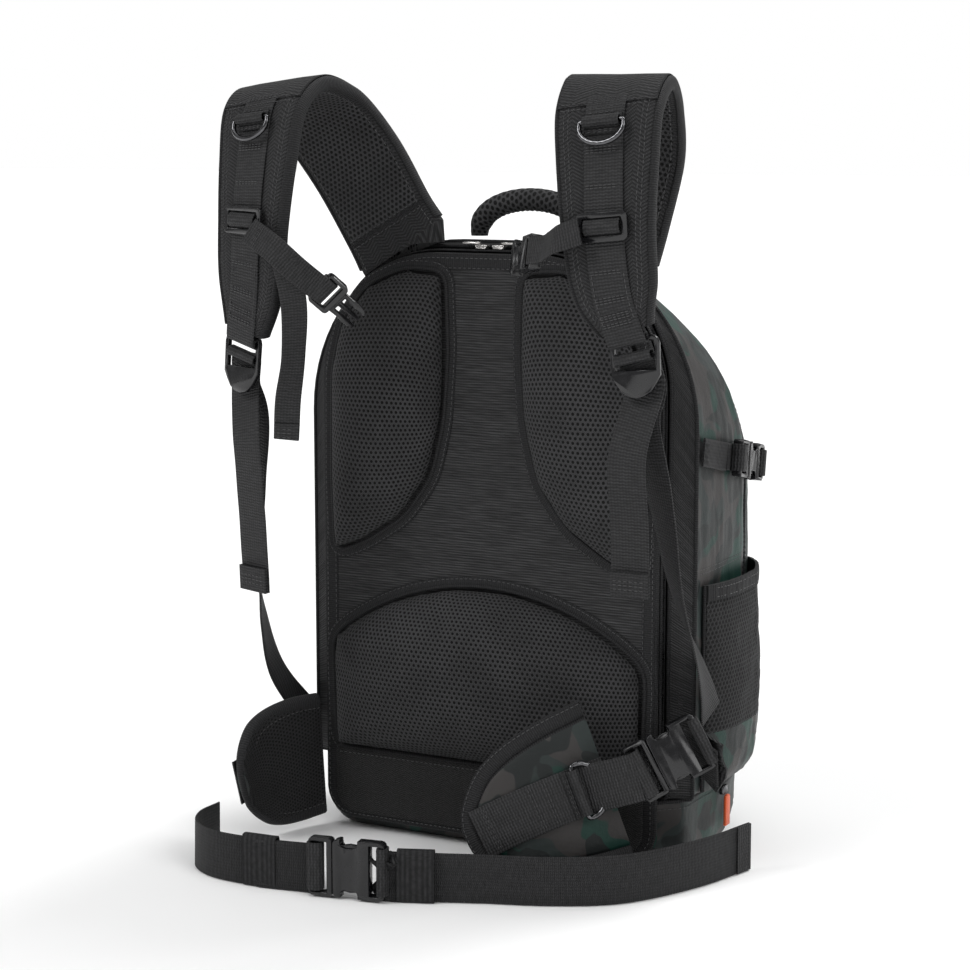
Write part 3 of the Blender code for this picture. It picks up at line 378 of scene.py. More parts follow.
# ---------------------------------------------------------------- meshes
class Piece:
    """Collects the faces of one piece, with the finish and the cloth coordinates of each."""

    def __init__(self, name):
        self.name = name
        self.verts = []
        self.faces = []
        self.uvs = []
        self.finishes = []

    def grid(self, rows, coords, finish, close_rows=False, close_across=False):
        """Faces over a grid of points. finish is a name, or a function of (row, column)."""
        start = len(self.verts)
        count, across = len(rows), len(rows[0])
        for row in rows:
            self.verts.extend(tuple(p) for p in row)
        for i in range(count if close_rows else count - 1):
            for k in range(across if close_across else across - 1):
                i2, k2 = (i + 1) % count, (k + 1) % across
                corners = ((i, k), (i, k2), (i2, k2), (i2, k))
                self.faces.append([start + a * across + b for a, b in corners])
                ends = ((i, k), (i, k + 1), (i + 1, k + 1), (i + 1, k))
                last, edge = len(coords) - 1, len(coords[0]) - 1
                self.uvs.append([coords[min(a, last)][min(b, edge)] for a, b in ends])
                self.finishes.append(finish if isinstance(finish, str) else finish(i, k))
        return start

    def cap(self, start, count, finish):
        """Closes a run of vertices with one face."""
        indices = list(range(start, start + count))
        self.faces.append(indices)
        self.uvs.append([(self.verts[i][0], self.verts[i][2]) for i in indices])
        self.finishes.append(finish)

    def loft(self, rows, coords, finish, foot, top):
        """A closed form: rings joined into a skin, with a cap on the first and on the last."""
        count = len(rows[0])
        start = self.grid(rows, coords, finish, close_across=True)
        self.cap(start, count, foot)
        self.cap(start + (len(rows) - 1) * count, count, top)

    def rim(self, outer, inner, count, finish):
        """Joins the first ring of an outer skin to the first ring of an inner one."""
        for k in range(count):
            j = (k + 1) % count
            self.faces.append([outer + k, outer + j, inner + j, inner + k])
            self.uvs.append([(0, 0)] * 4)
            self.finishes.append(finish)

    def blob(self, verts, faces, finish):
        start = len(self.verts)
        self.verts.extend(tuple(v) for v in verts)
        for face in faces:
            self.faces.append([start + i for i in face])
            self.uvs.append([(verts[i][0], verts[i][2]) for i in face])
            self.finishes.append(finish)

    def object(self, sharp_deg=40):
        mesh = bpy.data.meshes.new(self.name)
        mesh.from_pydata(self.verts, [], self.faces)
        names = sorted(set(self.finishes))
        for name in names:
            mesh.materials.append(Finish.made[name])
        mesh.polygons.foreach_set("material_index", [names.index(name) for name in self.finishes])
        layer = mesh.uv_layers.new(name="UVMap")
        layer.data.foreach_set("uv", [c for face in self.uvs for uv in face for c in uv])
        mesh.validate()
        bm = bmesh.new()
        bm.from_mesh(mesh)
        bmesh.ops.recalc_face_normals(bm, faces=bm.faces)
        bm.to_mesh(mesh)
        bm.free()
        mesh.shade_smooth()
        mesh.set_sharp_from_angle(angle=math.radians(sharp_deg))
        obj = bpy.data.objects.new(self.name, mesh)
        bpy.context.scene.collection.objects.link(obj)
        return obj

    def stand_for(self, slot, *nodes, sharp_deg=40):
        """Makes the object, in place of those nodes and on their body."""
        obj = self.object(sharp_deg)
        return stand_for(obj, slot, *nodes)

    def ride_on(self, body):
        obj = self.object()
        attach(obj, body)
        return obj


def stand_for(obj, slot, *nodes):
    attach(obj, BODY_OF[nodes[0]])
    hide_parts(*nodes)
    return obj


def stretched(piece, node, start, end):
    """The piece in place of that node, its transform baked where it stands. start and end are not used."""
    obj = piece.object()
    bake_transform(obj)
    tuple(start)
    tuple(end)
    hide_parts(node)


def placed(origin, x_axis, z_axis):
    """The matrix of a buckle: x along its strap, z out of its face."""
    x = Vector(x_axis).normalized()
    z = Vector(z_axis)
    z = (z - x * z.dot(x)).normalized()
    made = Matrix((x, z.cross(x), z)).transposed().to_4x4()
    made.translation = origin
    return made


# ---------------------------------------------------------------- paths
def arc(centre, radius, start_deg, end_deg, count):
    steps = [math.radians(start_deg + (end_deg - start_deg) * i / count) for i in range(count + 1)]
    return [(centre[0] + radius * math.cos(a), centre[1] + radius * math.sin(a)) for a in steps]


def smooth_curve(points, per_span):
    """A Catmull-Rom curve through the points."""
    points = [Vector(p) for p in points]
    ends = [points[0] * 2 - points[1], *points, points[-1] * 2 - points[-2]]
    made = []
    for a, b, c, d in zip(ends, ends[1:], ends[2:], ends[3:]):
        for step in range(per_span):
            t = step / per_span
            bend = (2 * a - 5 * b + 4 * c - d) * t**2
            twist = (3 * b - a - 3 * c + d) * t**3
            made.append(0.5 * (2 * b + (c - a) * t + bend + twist))
    return [*made, points[-1]]


def strap_frames(points, sides, per_span=12):
    """Along a strap: its centre, the direction of its width, and the way its outer face looks."""
    centres = smooth_curve(points, per_span)
    widths = smooth_curve(sides, per_span)
    frames = []
    for i, centre in enumerate(centres):
        along = (centres[min(i + 1, len(centres) - 1)] - centres[max(i - 1, 0)]).normalized()
        side = widths[i]
        side = (side - along * side.dot(along)).normalized()
        frames.append((centre, side, along.cross(side)))
    return frames


def lengths(points):
    """Distance along a path to each of its points."""
    total = [0.0]
    for a, b in zip(points, points[1:]):
        total.append(total[-1] + (Vector(b) - Vector(a)).length)
    return total


def resample(points, step, closed=False):
    """Points at even steps along a path."""
    points = [Vector(p) for p in points]
    if closed:
        points.append(points[0])
    at = lengths(points)
    count = max(2, round(at[-1] / step))
    made, k = [], 0
    for i in range(count if closed else count + 1):
        goal = at[-1] * i / count
        while k < len(at) - 2 and at[k + 1] < goal:
            k += 1
        share = (goal - at[k]) / max(at[k + 1] - at[k], 1e-9)
        made.append(points[k].lerp(points[k + 1], min(share, 1.0)))
    return made


def rounded_outline(points, radius, count=5):
    """Rounds the corners of a closed outline of 2-D points with quadratic curves."""
    points = [Vector(p) for p in points]
    made = []
    for i, point in enumerate(points):
        before, after = points[i - 1], points[(i + 1) % len(points)]
        a = point + (before - point).normalized() * min(radius, (before - point).length * 0.45)
        b = point + (after - point).normalized() * min(radius, (after - point).length * 0.45)
        for k in range(count + 1):
            t = k / count
            made.append(a * (1 - t) ** 2 + point * 2 * t * (1 - t) + b * t**2)
    return made


def shift_along(frames, amount):
    """The frames moved off the outer face."""
    return [(c + o * amount, s, o) for c, s, o in frames]


def part_of(frames, start, end):
    """A stretch of frames, between two shares of its length."""
    at = lengths([f[0] for f in frames])
    low, high = at[-1] * start, at[-1] * end
    return [f for f, d in zip(frames, at) if low - 1e-6 <= d <= high + 1e-6]


def frame_at(frames, place, per_span):
    position = min(max(place * per_span, 0.0), len(frames) - 1.001)
    index = int(position)
    share = position - index
    centre, side, out = [a.lerp(b, share) for a, b in zip(frames[index], frames[index + 1])]
    return centre, side.normalized(), out.normalized()


# ---------------------------------------------------------------- swept shapes
def sweep(piece, frames, profile, finish, closed=False):
    """Draws a closed profile of (across, out) offsets along frames. profile may be a function of i."""
    rows = []
    for i, (centre, side, out) in enumerate(frames):
        outline = profile(i) if callable(profile) else profile
        rows.append([centre + side * a + out * b for a, b in outline])
    at = lengths([f[0] for f in frames])
    first = profile(0) if callable(profile) else profile
    round_at = [0.0]
    for a, b in zip(first, [*first[1:], first[0]]):
        round_at.append(round_at[-1] + math.hypot(b[0] - a[0], b[1] - a[1]))
    last = at[-1] + (frames[0][0] - frames[-1][0]).length
    coords = [[(u, v) for u in round_at] for v in ([*at, last] if closed else at)]
    if closed:
        piece.grid(rows, coords, finish, close_rows=True, close_across=True)
    else:
        name = finish if isinstance(finish, str) else finish(0, 0)
        piece.loft(rows, coords, finish, name, name)


def flat_profile(width, thick):
    """A flat strap's section: thin, with rounded selvedges. It starts at one edge of its outer face."""
    half, t = width / 2, thick / 2
    top = [(a, t) for a in (-half + t, -half * 0.5, 0.0, half * 0.5, half - t)]
    right = [(half - t * 0.3, t * 0.7), (half, 0.0), (half - t * 0.3, -t * 0.7)]
    low = [(a, -t) for a, _ in reversed(top)]
    left = [(-a, b) for a, b in reversed(right)]
    return [*top, *right, *low, *left]


def oval_profile(half_width, half_thick, count=16, power=1.0):
    made = []
    for k in range(count):
        a = 2 * math.pi * k / count
        c, s = math.cos(a), math.sin(a)
        x = math.copysign(abs(c) ** power, c) * half_width
        y = math.copysign(abs(s) ** power, s) * half_thick
        made.append((x, y))
    return made


def web(piece, frames, width, finish="webbing"):
    sweep(piece, frames, flat_profile(width, WEB), finish)


def bar_loop(piece, place, at, reach, rise, width):
    """Webbing folded round a buckle's bar: at is the bar's x, reach and rise the fold's half sizes."""
    x, y, z = (Vector(column) for column in place.to_3x3().col)
    centre = place @ Vector((at, 0, 0))
    frames = []
    for k in range(20):
        a = 2 * math.pi * k / 20
        c, s = math.cos(a), math.sin(a)
        along = math.copysign(abs(c) ** 0.7, c)
        up = math.copysign(abs(s) ** 0.7, s)
        away = (x * c / reach + z * s / rise).normalized()
        frames.append((centre + x * reach * along + z * rise * up, y, away))
    sweep(piece, frames, flat_profile(width, WEB), "webbing", closed=True)


MALE_BAR, FEMALE_BAR = -0.0185, 0.03875
MALE_LOOP = (MALE_BAR + 0.0034, 0.0056, 0.0052)
FEMALE_LOOP = (FEMALE_BAR, 0.0034, 0.0057)


STITCH, STITCH_HALF = 0.0030, 0.00033  # length and half thickness of a stitch


def stitch_row(piece, points, normals, pitch=0.0042):
    """A row of stitches that lie on a surface, along a path with the surface's normals."""
    at = lengths(points)
    distance, k = pitch / 2, 0
    while distance < at[-1] - pitch / 2:
        while k < len(at) - 2 and at[k + 1] < distance:
            k += 1
        share = (distance - at[k]) / max(at[k + 1] - at[k], 1e-9)
        centre = Vector(points[k]).lerp(Vector(points[k + 1]), share)
        along = (Vector(points[k + 1]) - Vector(points[k])).normalized()
        normal = Vector(normals[k]).lerp(Vector(normals[k + 1]), share).normalized()
        side = along.cross(normal)
        up = normal * STITCH_HALF * 1.1
        ring = [side * STITCH_HALF, up, -side * STITCH_HALF, -up]
        verts = [centre - along * STITCH / 2, *[centre - along * STITCH * 0.28 + r for r in ring]]
        verts += [*[centre + along * STITCH * 0.28 + r for r in ring], centre + along * STITCH / 2]
        faces = [(0, 1 + (j + 1) % 4, 1 + j) for j in range(4)]
        faces += [(1 + j, 1 + (j + 1) % 4, 5 + (j + 1) % 4, 5 + j) for j in range(4)]
        faces += [(9, 5 + j, 5 + (j + 1) % 4) for j in range(4)]
        piece.blob(verts, faces, "thread")
        distance += pitch


def strap_stitches(piece, frames, across, level):
    """Stitches along a strap, at a distance across it and a height off its middle."""
    points = [c + s * across + o * level for c, s, o in frames]
    stitch_row(piece, points, [f[2] for f in frames])


def bar_tack(piece, frame, width, level, rows=1, gap=0.002, **settings):
    """Rows of stitches across a strap."""
    centre, side, out = frame
    along = side.cross(out)
    for row in range(rows):
        middle = centre + out * level + along * (gap * (row - (rows - 1) / 2))
        points = [middle + side * (width * s) for s in (-0.5, -0.25, 0.0, 0.25, 0.5)]
        stitch_row(piece, points, [out] * 5, **settings)


def tube(piece, points, radius, finish, closed=False):
    """A round cord along points."""
    points = [Vector(p) for p in points]
    frames = []
    side = None
    for i, point in enumerate(points):
        before = points[i - 1] if i or closed else point
        after = points[(i + 1) % len(points)] if i < len(points) - 1 or closed else point
        along = (after - before).normalized()
        if side is None:
            side = along.orthogonal().normalized()
        side = (side - along * side.dot(along)).normalized()
        frames.append((point, side, along.cross(side)))
    sweep(piece, frames, oval_profile(radius, radius, 8), finish, closed=closed)


def fractal(point, scale, octaves=3, seed=0.0):
    """Smooth noise from -1 to 1 at a place, with features of about scale metres."""
    at = Vector(point) / scale + Vector((seed, seed * 1.7, -seed))
    return noise.fractal(at, 1.0, 2.0, octaves, noise_basis="PERLIN_ORIGINAL")


def crumple(rows, rule):
    """Moves each point of closed rings along its outward normal, by what rule(point) says."""
    points = np.array([[tuple(p) for p in row] for row in rows])
    down = np.gradient(points, axis=0)
    across = np.roll(points, -1, axis=1) - np.roll(points, 1, axis=1)
    normals = np.cross(down, across)
    normals /= np.maximum(np.linalg.norm(normals, axis=2, keepdims=True), 1e-12)
    outward = points - points.mean(axis=(0, 1))
    if (normals * outward).sum() < 0:
        normals = -normals
    made = []
    for row, facing in zip(points, normals):
        made.append([Vector(p) + Vector(n) * rule(Vector(p)) for p, n in zip(row, facing)])
    return made


# ---------------------------------------------------------------- the bag
REAR_Y = -0.0885  # where the gusset starts, behind the back panel
SEAM_Y = -0.0815  # seam between the gusset and the printed cloth
# y, half width, top, corner radius of the bag's outer skin, as the frame has it.
BAG = [
    (REAR_Y, 0.1530, 0.4820, 0.108),
    (SEAM_Y, 0.1700, 0.4850, 0.140),
    (-0.0300, 0.1715, 0.4670, 0.140),
    (0.0150, 0.1700, 0.4480, 0.140),
    (0.0500, 0.1610, 0.4240, 0.135),
    (0.0760, 0.1490, 0.3900, 0.125),
    (0.0920, 0.1330, 0.3450, 0.105),
    (0.0980, 0.1100, 0.3000, 0.080),
]
BASE_HEIGHT = 0.058
WALL = 0.003
COMPARTMENT_Y = 0.0290  # seam between the bag's side and its front compartment


def arch(half_width, low, high, corner, foot, straight=20, curve=18):
    """The bag's outline as (x, z) points, with even runs of points between its corners."""
    left, right = -half_width, half_width

    def run(a, b, count):
        return [(a[0] + (b[0] - a[0]) * i / count, a[1] + (b[1] - a[1]) * i / count) for i in range(1, count)]

    points = arc((right - foot, low + foot), foot, -90, 0, 4)
    points += run((right, low + foot), (right, high - corner), straight)
    points += arc((right - corner, high - corner), corner, 0, 90, curve)
    points += run((right - corner, high), (left + corner, high), 5)
    points += arc((left + corner, high - corner), corner, 90, 180, curve)
    points += run((left, high - corner), (left, low + foot), straight)
    points += arc((left + foot, low + foot), foot, 180, 270, 4)
    points += run((left + foot, low), (right - foot, low), 16)
    return points


def bag_at(y):
    """Half width, top and corner radius of the bag at a depth."""
    for low, high in zip(BAG, BAG[1:]):
        if low[0] <= y <= high[0]:
            share = (y - low[0]) / (high[0] - low[0])
            return [a + (b - a) * share for a, b in zip(low[1:], high[1:])]
    return list(BAG[-1][1:])


def bag_ring(y, inset=0.0):
    half_width, top, corner = bag_at(y)
    low = BASE_HEIGHT + 0.0006 + inset
    return [Vector((x, y, z)) for x, z in arch(half_width - inset, low, top - inset, corner - inset, 0.004)]


def side_x(y):
    return bag_at(y)[0]


def bag_folds(point):
    """How far the bag's cloth falls in from its full shape: folds down the sides and a soft sag."""
    x, y, z = point
    fall = -0.0011 + 0.0011 * fractal(point, 0.085, 2, 3.0)
    on_side = min(1.0, max(0.0, (abs(x) - 0.10) / 0.05))
    slant = y + 0.10 * (z - 0.30) * (1 if x > 0 else -1)
    folds = fractal((slant * 2.4, z * 0.32, x * 0.1), 0.036, 2, 8.0)
    fall += 0.0016 * on_side * (abs(folds) - 0.55)
    fall += 0.0005 * fractal(point, 0.020, 3, 1.0)
    seam = math.exp(-(((y - COMPARTMENT_Y) / 0.0030) ** 2))
    fall -= 0.0032 * seam
    hem = math.exp(-(((y - SEAM_Y) / 0.0022) ** 2))
    fall -= 0.0012 * hem
    cinch = math.exp(-(((z - 0.324 + (y + 0.05) * 0.20) / 0.014) ** 2)) * on_side * (1 if y < 0.02 else 0)
    fall -= 0.0014 * cinch
    return min(fall, 0.0002)


def make_shell():
    depths = [SEAM_Y + 0.0003 + (0.0920 - SEAM_Y) * i / 62 for i in range(62)]
    depths += [0.0920 + 0.0060 * i / 6 for i in range(7)]
    outer = crumple([bag_ring(y) for y in depths], bag_folds)
    inner = [bag_ring(y, WALL) for y in (SEAM_Y + 0.0003, -0.03, 0.015, 0.05, 0.076, 0.090, 0.0945)]
    back = Vector((0, WALL, 0))
    inner = [inner[0], *([p - back for p in row] for row in inner[1:])]
    piece = Piece("shell_cloth")
    coords = [[(sum_at, y) for sum_at in np.arange(len(outer[0]) + 1) * 0.010] for y in depths]
    start = piece.grid(outer, coords, "camo", close_across=True)
    count = len(outer[0])
    close_with_rings(piece, start + (len(outer) - 1) * count, outer[-1], "camo", 0.0005)
    low = piece.grid(inner, [[(0, 0)] * (count + 1)] * len(inner), "lining", close_across=True)
    piece.cap(low + (len(inner) - 1) * count, count, "lining")
    piece.rim(start, low, count, "binding")
    piece.stand_for("camo", "main_shell", sharp_deg=70)


def close_with_rings(piece, start, ring, finish, bulge):
    """Closes a grid's last ring with rings that shrink to its middle, standing off it by bulge."""
    steps = 8
    count = len(ring)
    middle = sum(ring, Vector()) / count
    previous = start
    for step in range(1, steps):
        share = 1 - step / steps
        first = len(piece.verts)
        for p in ring:
            q = middle + (p - middle) * share
            piece.verts.append((q.x, q.y + bulge * (1 - share**2), q.z))
        for k in range(count):
            j = (k + 1) % count
            piece.faces.append([previous + k, previous + j, first + j, first + k])
            piece.uvs.append([(piece.verts[n][0], piece.verts[n][2]) for n in piece.faces[-1]])
            piece.finishes.append(finish)
        previous = first
    piece.cap(previous, count, finish)


def make_gusset():
    """The strip between the back panel's zip and the printed cloth, drawn in at its seams."""
    count = 9
    rows = [bag_ring(REAR_Y + (SEAM_Y - REAR_Y) * (i / (count - 1))) for i in range(count)]

    def pucker(point):
        swell = math.sin(math.pi * (point.y - REAR_Y) / (SEAM_Y - REAR_Y))
        wave = fractal((point.x, point.y * 3, point.z), 0.016, 2, 5.0)
        return swell * (-0.0008 + 0.0007 * wave) - 0.0002

    outer = crumple(rows, pucker)
    inner = [bag_ring(y, WALL) for y in (SEAM_Y, REAR_Y)]
    piece = Piece("gusset_cloth")
    ring_at = lengths([*outer[0], outer[0][0]])
    coords = [[(y, s) for s in ring_at] for y in np.linspace(0, 0.018, count + 3)]
    piece.grid([*outer, *inner], coords, "ribbed", close_rows=True, close_across=True)
    piece.stand_for("ribbed", "rear_gusset", sharp_deg=60)

    trim = Piece("bag_piping")
    tube(trim, inset_ring(bag_ring(SEAM_Y), 0.0004), 0.0015, "binding", closed=True)
    rear = [Vector((p.x * 0.995, -0.0888, p.z)) for p in inset_ring(bag_ring(REAR_Y), 0.0012)]
    tube(trim, rear, 0.0016, "binding", closed=True)
    seam = [p for p in inset_ring(bag_ring(COMPARTMENT_Y), 0.0022) if p.z > BASE_HEIGHT + 0.004]
    tube(trim, seam, 0.0013, "binding")
    for y in (SEAM_Y + 0.0045, COMPARTMENT_Y - 0.0050, COMPARTMENT_Y + 0.0050):
        path = [p for p in resample(bag_ring(y), 0.004) if p.z > BASE_HEIGHT + 0.006]
        normals = [outward_from_axis(p) for p in path]
        depth = [Vector(p) + n * (bag_folds(p) + 0.0001) for p, n in zip(path, normals)]
        stitch_row(trim, depth, normals)
    trim.ride_on("pack")


def inset_ring(ring, inset):
    return [p - outward_from_axis(p) * inset for p in ring]


def outward_from_axis(p):
    """The way out of the bag in the plane of one of its rings."""
    half_width, top, corner = bag_at(min(max(p.y, REAR_Y), 0.098))
    cx = math.copysign(max(0.0, min(abs(p.x), half_width - corner)), p.x)
    if p.z < top - corner:
        return Vector((math.copysign(1, p.x), 0, 0))
    away = Vector((p.x - cx, 0, p.z - (top - corner)))
    return away.normalized() if away.length > 1e-6 else Vector((0, 0, 1))


def make_base():
    """The base compartment: cloth folds over a stiff floor."""
    inset = 0.008
    edge = [(-0.0985, 0.144), (REAR_Y, 0.151)]
    edge += [(y, half_width - inset) for y, half_width, *_ in BAG[1:]]
    corners = [(x, y) for y, x in edge] + [(-x, y) for y, x in reversed(edge)]
    base = resample([Vector((x, y, 0)) for x, y in rounded_outline(corners, 0.010, 3)], 0.006, closed=True)

    def ring(z, shrink):
        made = []
        for p in base:
            away = Vector((p.x, p.y, 0)).normalized()
            q = p - Vector((math.copysign(shrink, p.x), math.copysign(shrink, p.y), 0)) * min(1, away.length)
            made.append(Vector((q.x, q.y, z)))
        return made

    heights = [(BASE_HEIGHT - 0.0003, 0.0008), (0.0560, 0.0002), (0.050, 0.0), (0.044, 0.0), (0.038, 0.0)]
    heights += [(0.032, 0.0), (0.026, 0.0), (0.021, 0.0), (0.0165, 0.001), (0.012, 0.0022), (0.008, 0.0036)]
    heights += [(0.005, 0.0056), (0.0025, 0.0085), (0.0008, 0.0118), (0.0, 0.0150)]

    def folds(p):
        level = math.sin(math.pi * min(1, max(0, p.z / BASE_HEIGHT)))
        fold = fractal((p.x * 0.5, p.y * 1.4, p.z * 0.9), 0.030, 3, 2.0)
        return level * (-0.0014 + 0.0016 * fold) if p.z > 0.003 else 0.0

    rows = crumple([ring(*h) for h in heights], lambda p: min(folds(p), 0.0))
    piece = Piece("base_cloth")
    count = len(base)
    around = [0.006 * k for k in range(count + 1)]
    start = piece.grid(rows, [[(u, h[0]) for u in around] for h in heights], "camo", close_across=True)
    piece.cap(start + (len(rows) - 1) * count, count, "twill")
    inner = [ring(z, s) for z, s in ((BASE_HEIGHT - 0.0003, WALL), (0.022, WALL), (WALL, 0.014))]
    low = piece.grid(inner, [[(0, 0)] * (count + 1)] * 3, "lining", close_across=True)
    piece.cap(low + 2 * count, count, "lining")
    piece.rim(start, low, count, "lining")
    piece.stand_for("camo", "base_compartment", sharp_deg=60)

    trim = Piece("base_piping")
    piping = [p - Vector((0, 0, 0.0012)) for p in ring(BASE_HEIGHT, -0.0002)]
    tube(trim, piping, 0.0016, "binding", closed=True)
    sides = [(p, Vector((p.x, p.y * 1.2, 0)).normalized()) for p in ring(0.0510, -0.0001)]
    stitch_row(trim, [p for p, _ in sides], [n for _, n in sides])
    trim.ride_on("pack")


# ---------------------------------------------------------------- the back panel
BACK_Y = -0.0993
PANEL_Y = BACK_Y - 0.0042  # face of the back panel
PAD_Y = PANEL_Y - 0.0003  # where the pads start


def panel_outline(inset=0.0):
    low, high = 0.012 + inset, 0.4745 - inset
    return arch(0.1465 - inset, low, high, 0.103 - inset, 0.022 - inset * 0.8)


def t_swell(x, z):
    """How far the panel stands proud between the two upper pads."""
    upper = min(1.0, max(0.0, (z - 0.262) / 0.05)) * min(1.0, max(0.0, (0.468 - z) / 0.02))
    return 0.0024 * upper * max(0.0, 1 - (x / 0.031) ** 2)


def make_back_panel():
    piece = Piece("back_panel_cloth")
    rings = []
    for inset, depth in ((0.0, 0.0), (0.0, 0.0014), (0.0008, 0.0030), (0.0024, 0.0042)):
        rings.append([Vector((x, BACK_Y - depth, z)) for x, z in panel_outline(inset)])
    centre_z = 0.250
    for step in range(1, 26):
        share = 1 - step / 26
        ring = []
        for x, z in panel_outline(0.0024):
            x, z = x * share, centre_z + (z - centre_z) * share
            ring.append(Vector((x, PANEL_Y - t_swell(x, z), z)))
        rings.append(ring)
    coords = [[(p.x, p.z) for p in [*ring, ring[0]]] for ring in rings]
    piece.loft(rings, coords, "ribbed", "ribbed", "ribbed")
    piece.stand_for("ribbed", "back_panel", sharp_deg=60)

    trim = Piece("back_panel_binding")
    flat_ring(trim, [Vector((x, 0, z)) for x, z in panel_outline(0.0058)], PANEL_Y - 0.0004, 0.0105, 0.0010)
    edge = [Vector((x, BACK_Y - 0.0022, z)) for x, z in panel_outline(0.0004)]
    tube(trim, resample(edge, 0.006, closed=True), 0.0023, "binding", closed=True)
    for inset in (0.0022, 0.0098):
        path = [Vector((x, PANEL_Y - 0.0014, z)) for x, z in panel_outline(inset)]
        stitch_row(trim, [*path, path[0]], [Vector((0, -1, 0))] * (len(path) + 1))
    trim.ride_on("pack")


def flat_ring(piece, outline, y, width, thick, crown=0.0):
    """A closed band of tape that lies on the panel along an outline."""
    path = resample(outline, 0.004, closed=True)
    frames = []
    for i, p in enumerate(path):
        along = (path[(i + 1) % len(path)] - path[i - 1]).normalized()
        frames.append((Vector((p.x, y, p.z)), along.cross(Vector((0, 1, 0))), Vector((0, -1, 0))))
    if crown:
        profile = oval_profile(width / 2, thick / 2 + crown, 12, 0.8)
    else:
        profile = flat_profile(width, thick)
    sweep(piece, frames, profile, "binding", closed=True)


# The pads' outlines, as (x, z).
LUMBAR = [(0.136, 0.0715), (0.139, 0.150), *arc((0.0, 0.002), 0.213, 50, 130, 10)]
LUMBAR += [(-0.139, 0.150), (-0.136, 0.0715)]
UPPER = [
    (0.034, 0.462),
    (0.032, 0.400),
    (0.036, 0.345),
    (0.047, 0.300),
    (0.072, 0.266),
    (0.108, 0.243),
    (0.136, 0.232),
    (0.1385, 0.290),
    (0.1375, 0.380),
    (0.128, 0.420),
    (0.104, 0.450),
    (0.070, 0.464),
]


def copied(name, node):
    """A new object with a closed copy of a node's mesh."""
    bm = bmesh.new()
    bm.from_mesh(NODES[node].data)
    bmesh.ops.remove_doubles(bm, verts=bm.verts, dist=1e-6)
    mesh = bpy.data.meshes.new(name)
    bm.to_mesh(mesh)
    bm.free()
    obj = bpy.data.objects.new(name, mesh)
    bpy.context.scene.collection.objects.link(obj)
    return obj


def applied(obj):
    """Applies the object's modifiers to its mesh."""
    graph = bpy.context.evaluated_depsgraph_get()
    mesh = bpy.data.meshes.new_from_object(obj.evaluated_get(graph))
    obj.modifiers.clear()
    old = obj.data
    obj.data = mesh
    bpy.data.meshes.remove(old)
    return obj


PAD_PRESSURE = 4.0
PAD_SHRINK = 0.0015
PAD_CAP = 0.005  # no point of a pad's cloth moves further


def stuffed(name, node, pinned):
    """Foam in a cloth cover: a copy of the node's solid, remeshed, slightly shrunk and blown up.

    pinned(point) says which points the seam holds."""
    obj = copied(name, node)
    remesh = obj.modifiers.new("remesh", "REMESH")
    remesh.mode = "VOXEL"
    remesh.voxel_size = 0.0045
    applied(obj)
    smooth = obj.modifiers.new("smooth", "SMOOTH")
    smooth.iterations = 12
    smooth.factor = 0.5
    applied(obj)
    mesh = obj.data
    for vertex in mesh.vertices:
        vertex.co -= vertex.normal * (0.0 if pinned(vertex.co) else PAD_SHRINK)
    held = obj.vertex_groups.new(name="held")
    held.add([v.index for v in mesh.vertices if pinned(v.co)], 1.0, "ADD")
    before = [v.co.copy() for v in mesh.vertices]
    cloth = obj.modifiers.new("cloth", "CLOTH")
    cloth.settings.quality = 5
    cloth.settings.mass = 0.3
    cloth.settings.tension_stiffness = 15
    cloth.settings.compression_stiffness = 15
    cloth.settings.bending_stiffness = 2.0
    cloth.settings.use_pressure = True
    cloth.settings.uniform_pressure_force = PAD_PRESSURE
    cloth.settings.effector_weights.gravity = 0
    cloth.settings.vertex_group_mass = "held"
    cloth.point_cache.frame_start = 1
    cloth.point_cache.frame_end = 20
    for number in range(1, 21):
        bpy.context.scene.frame_set(number)
    applied(obj)
    bpy.context.scene.frame_set(1)
    for vertex, old in zip(obj.data.vertices, before):
        moved = vertex.co - old
        if moved.length > PAD_CAP:
            vertex.co = old + moved.normalized() * PAD_CAP
    divide = obj.modifiers.new("divide", "SUBSURF")
    divide.levels = 1
    divide.render_levels = 1
    applied(obj)
    obj.data.shade_smooth()
    return obj


def wrap_cloth(obj, finish, toward):
    """Cloth coordinates of a crowned pad seen along toward, whose pattern runs on down its flanks."""
    up = Vector((0, 0, 1))
    mesh = obj.data
    mesh.materials.clear()
    mesh.materials.append(Finish.made[finish])
    across = up.cross(toward).normalized()
    points = [v.co for v in mesh.vertices]
    heights = [p.dot(toward) for p in points]
    peak = max(heights)
    middle = sum(points, Vector()) / len(points)
    flat = []
    for p, h in zip(points, heights):
        q = Vector((p.dot(across) - middle.dot(across), p.dot(up) - middle.dot(up)))
        away = q.normalized() if q.length > 1e-6 else q
        q = q + away * (peak - h)
        flat.append((q.x, q.y))
    layer = mesh.uv_layers.new(name="UVMap")
    for loop in mesh.loops:
        layer.data[loop.index].uv = flat[loop.vertex_index]


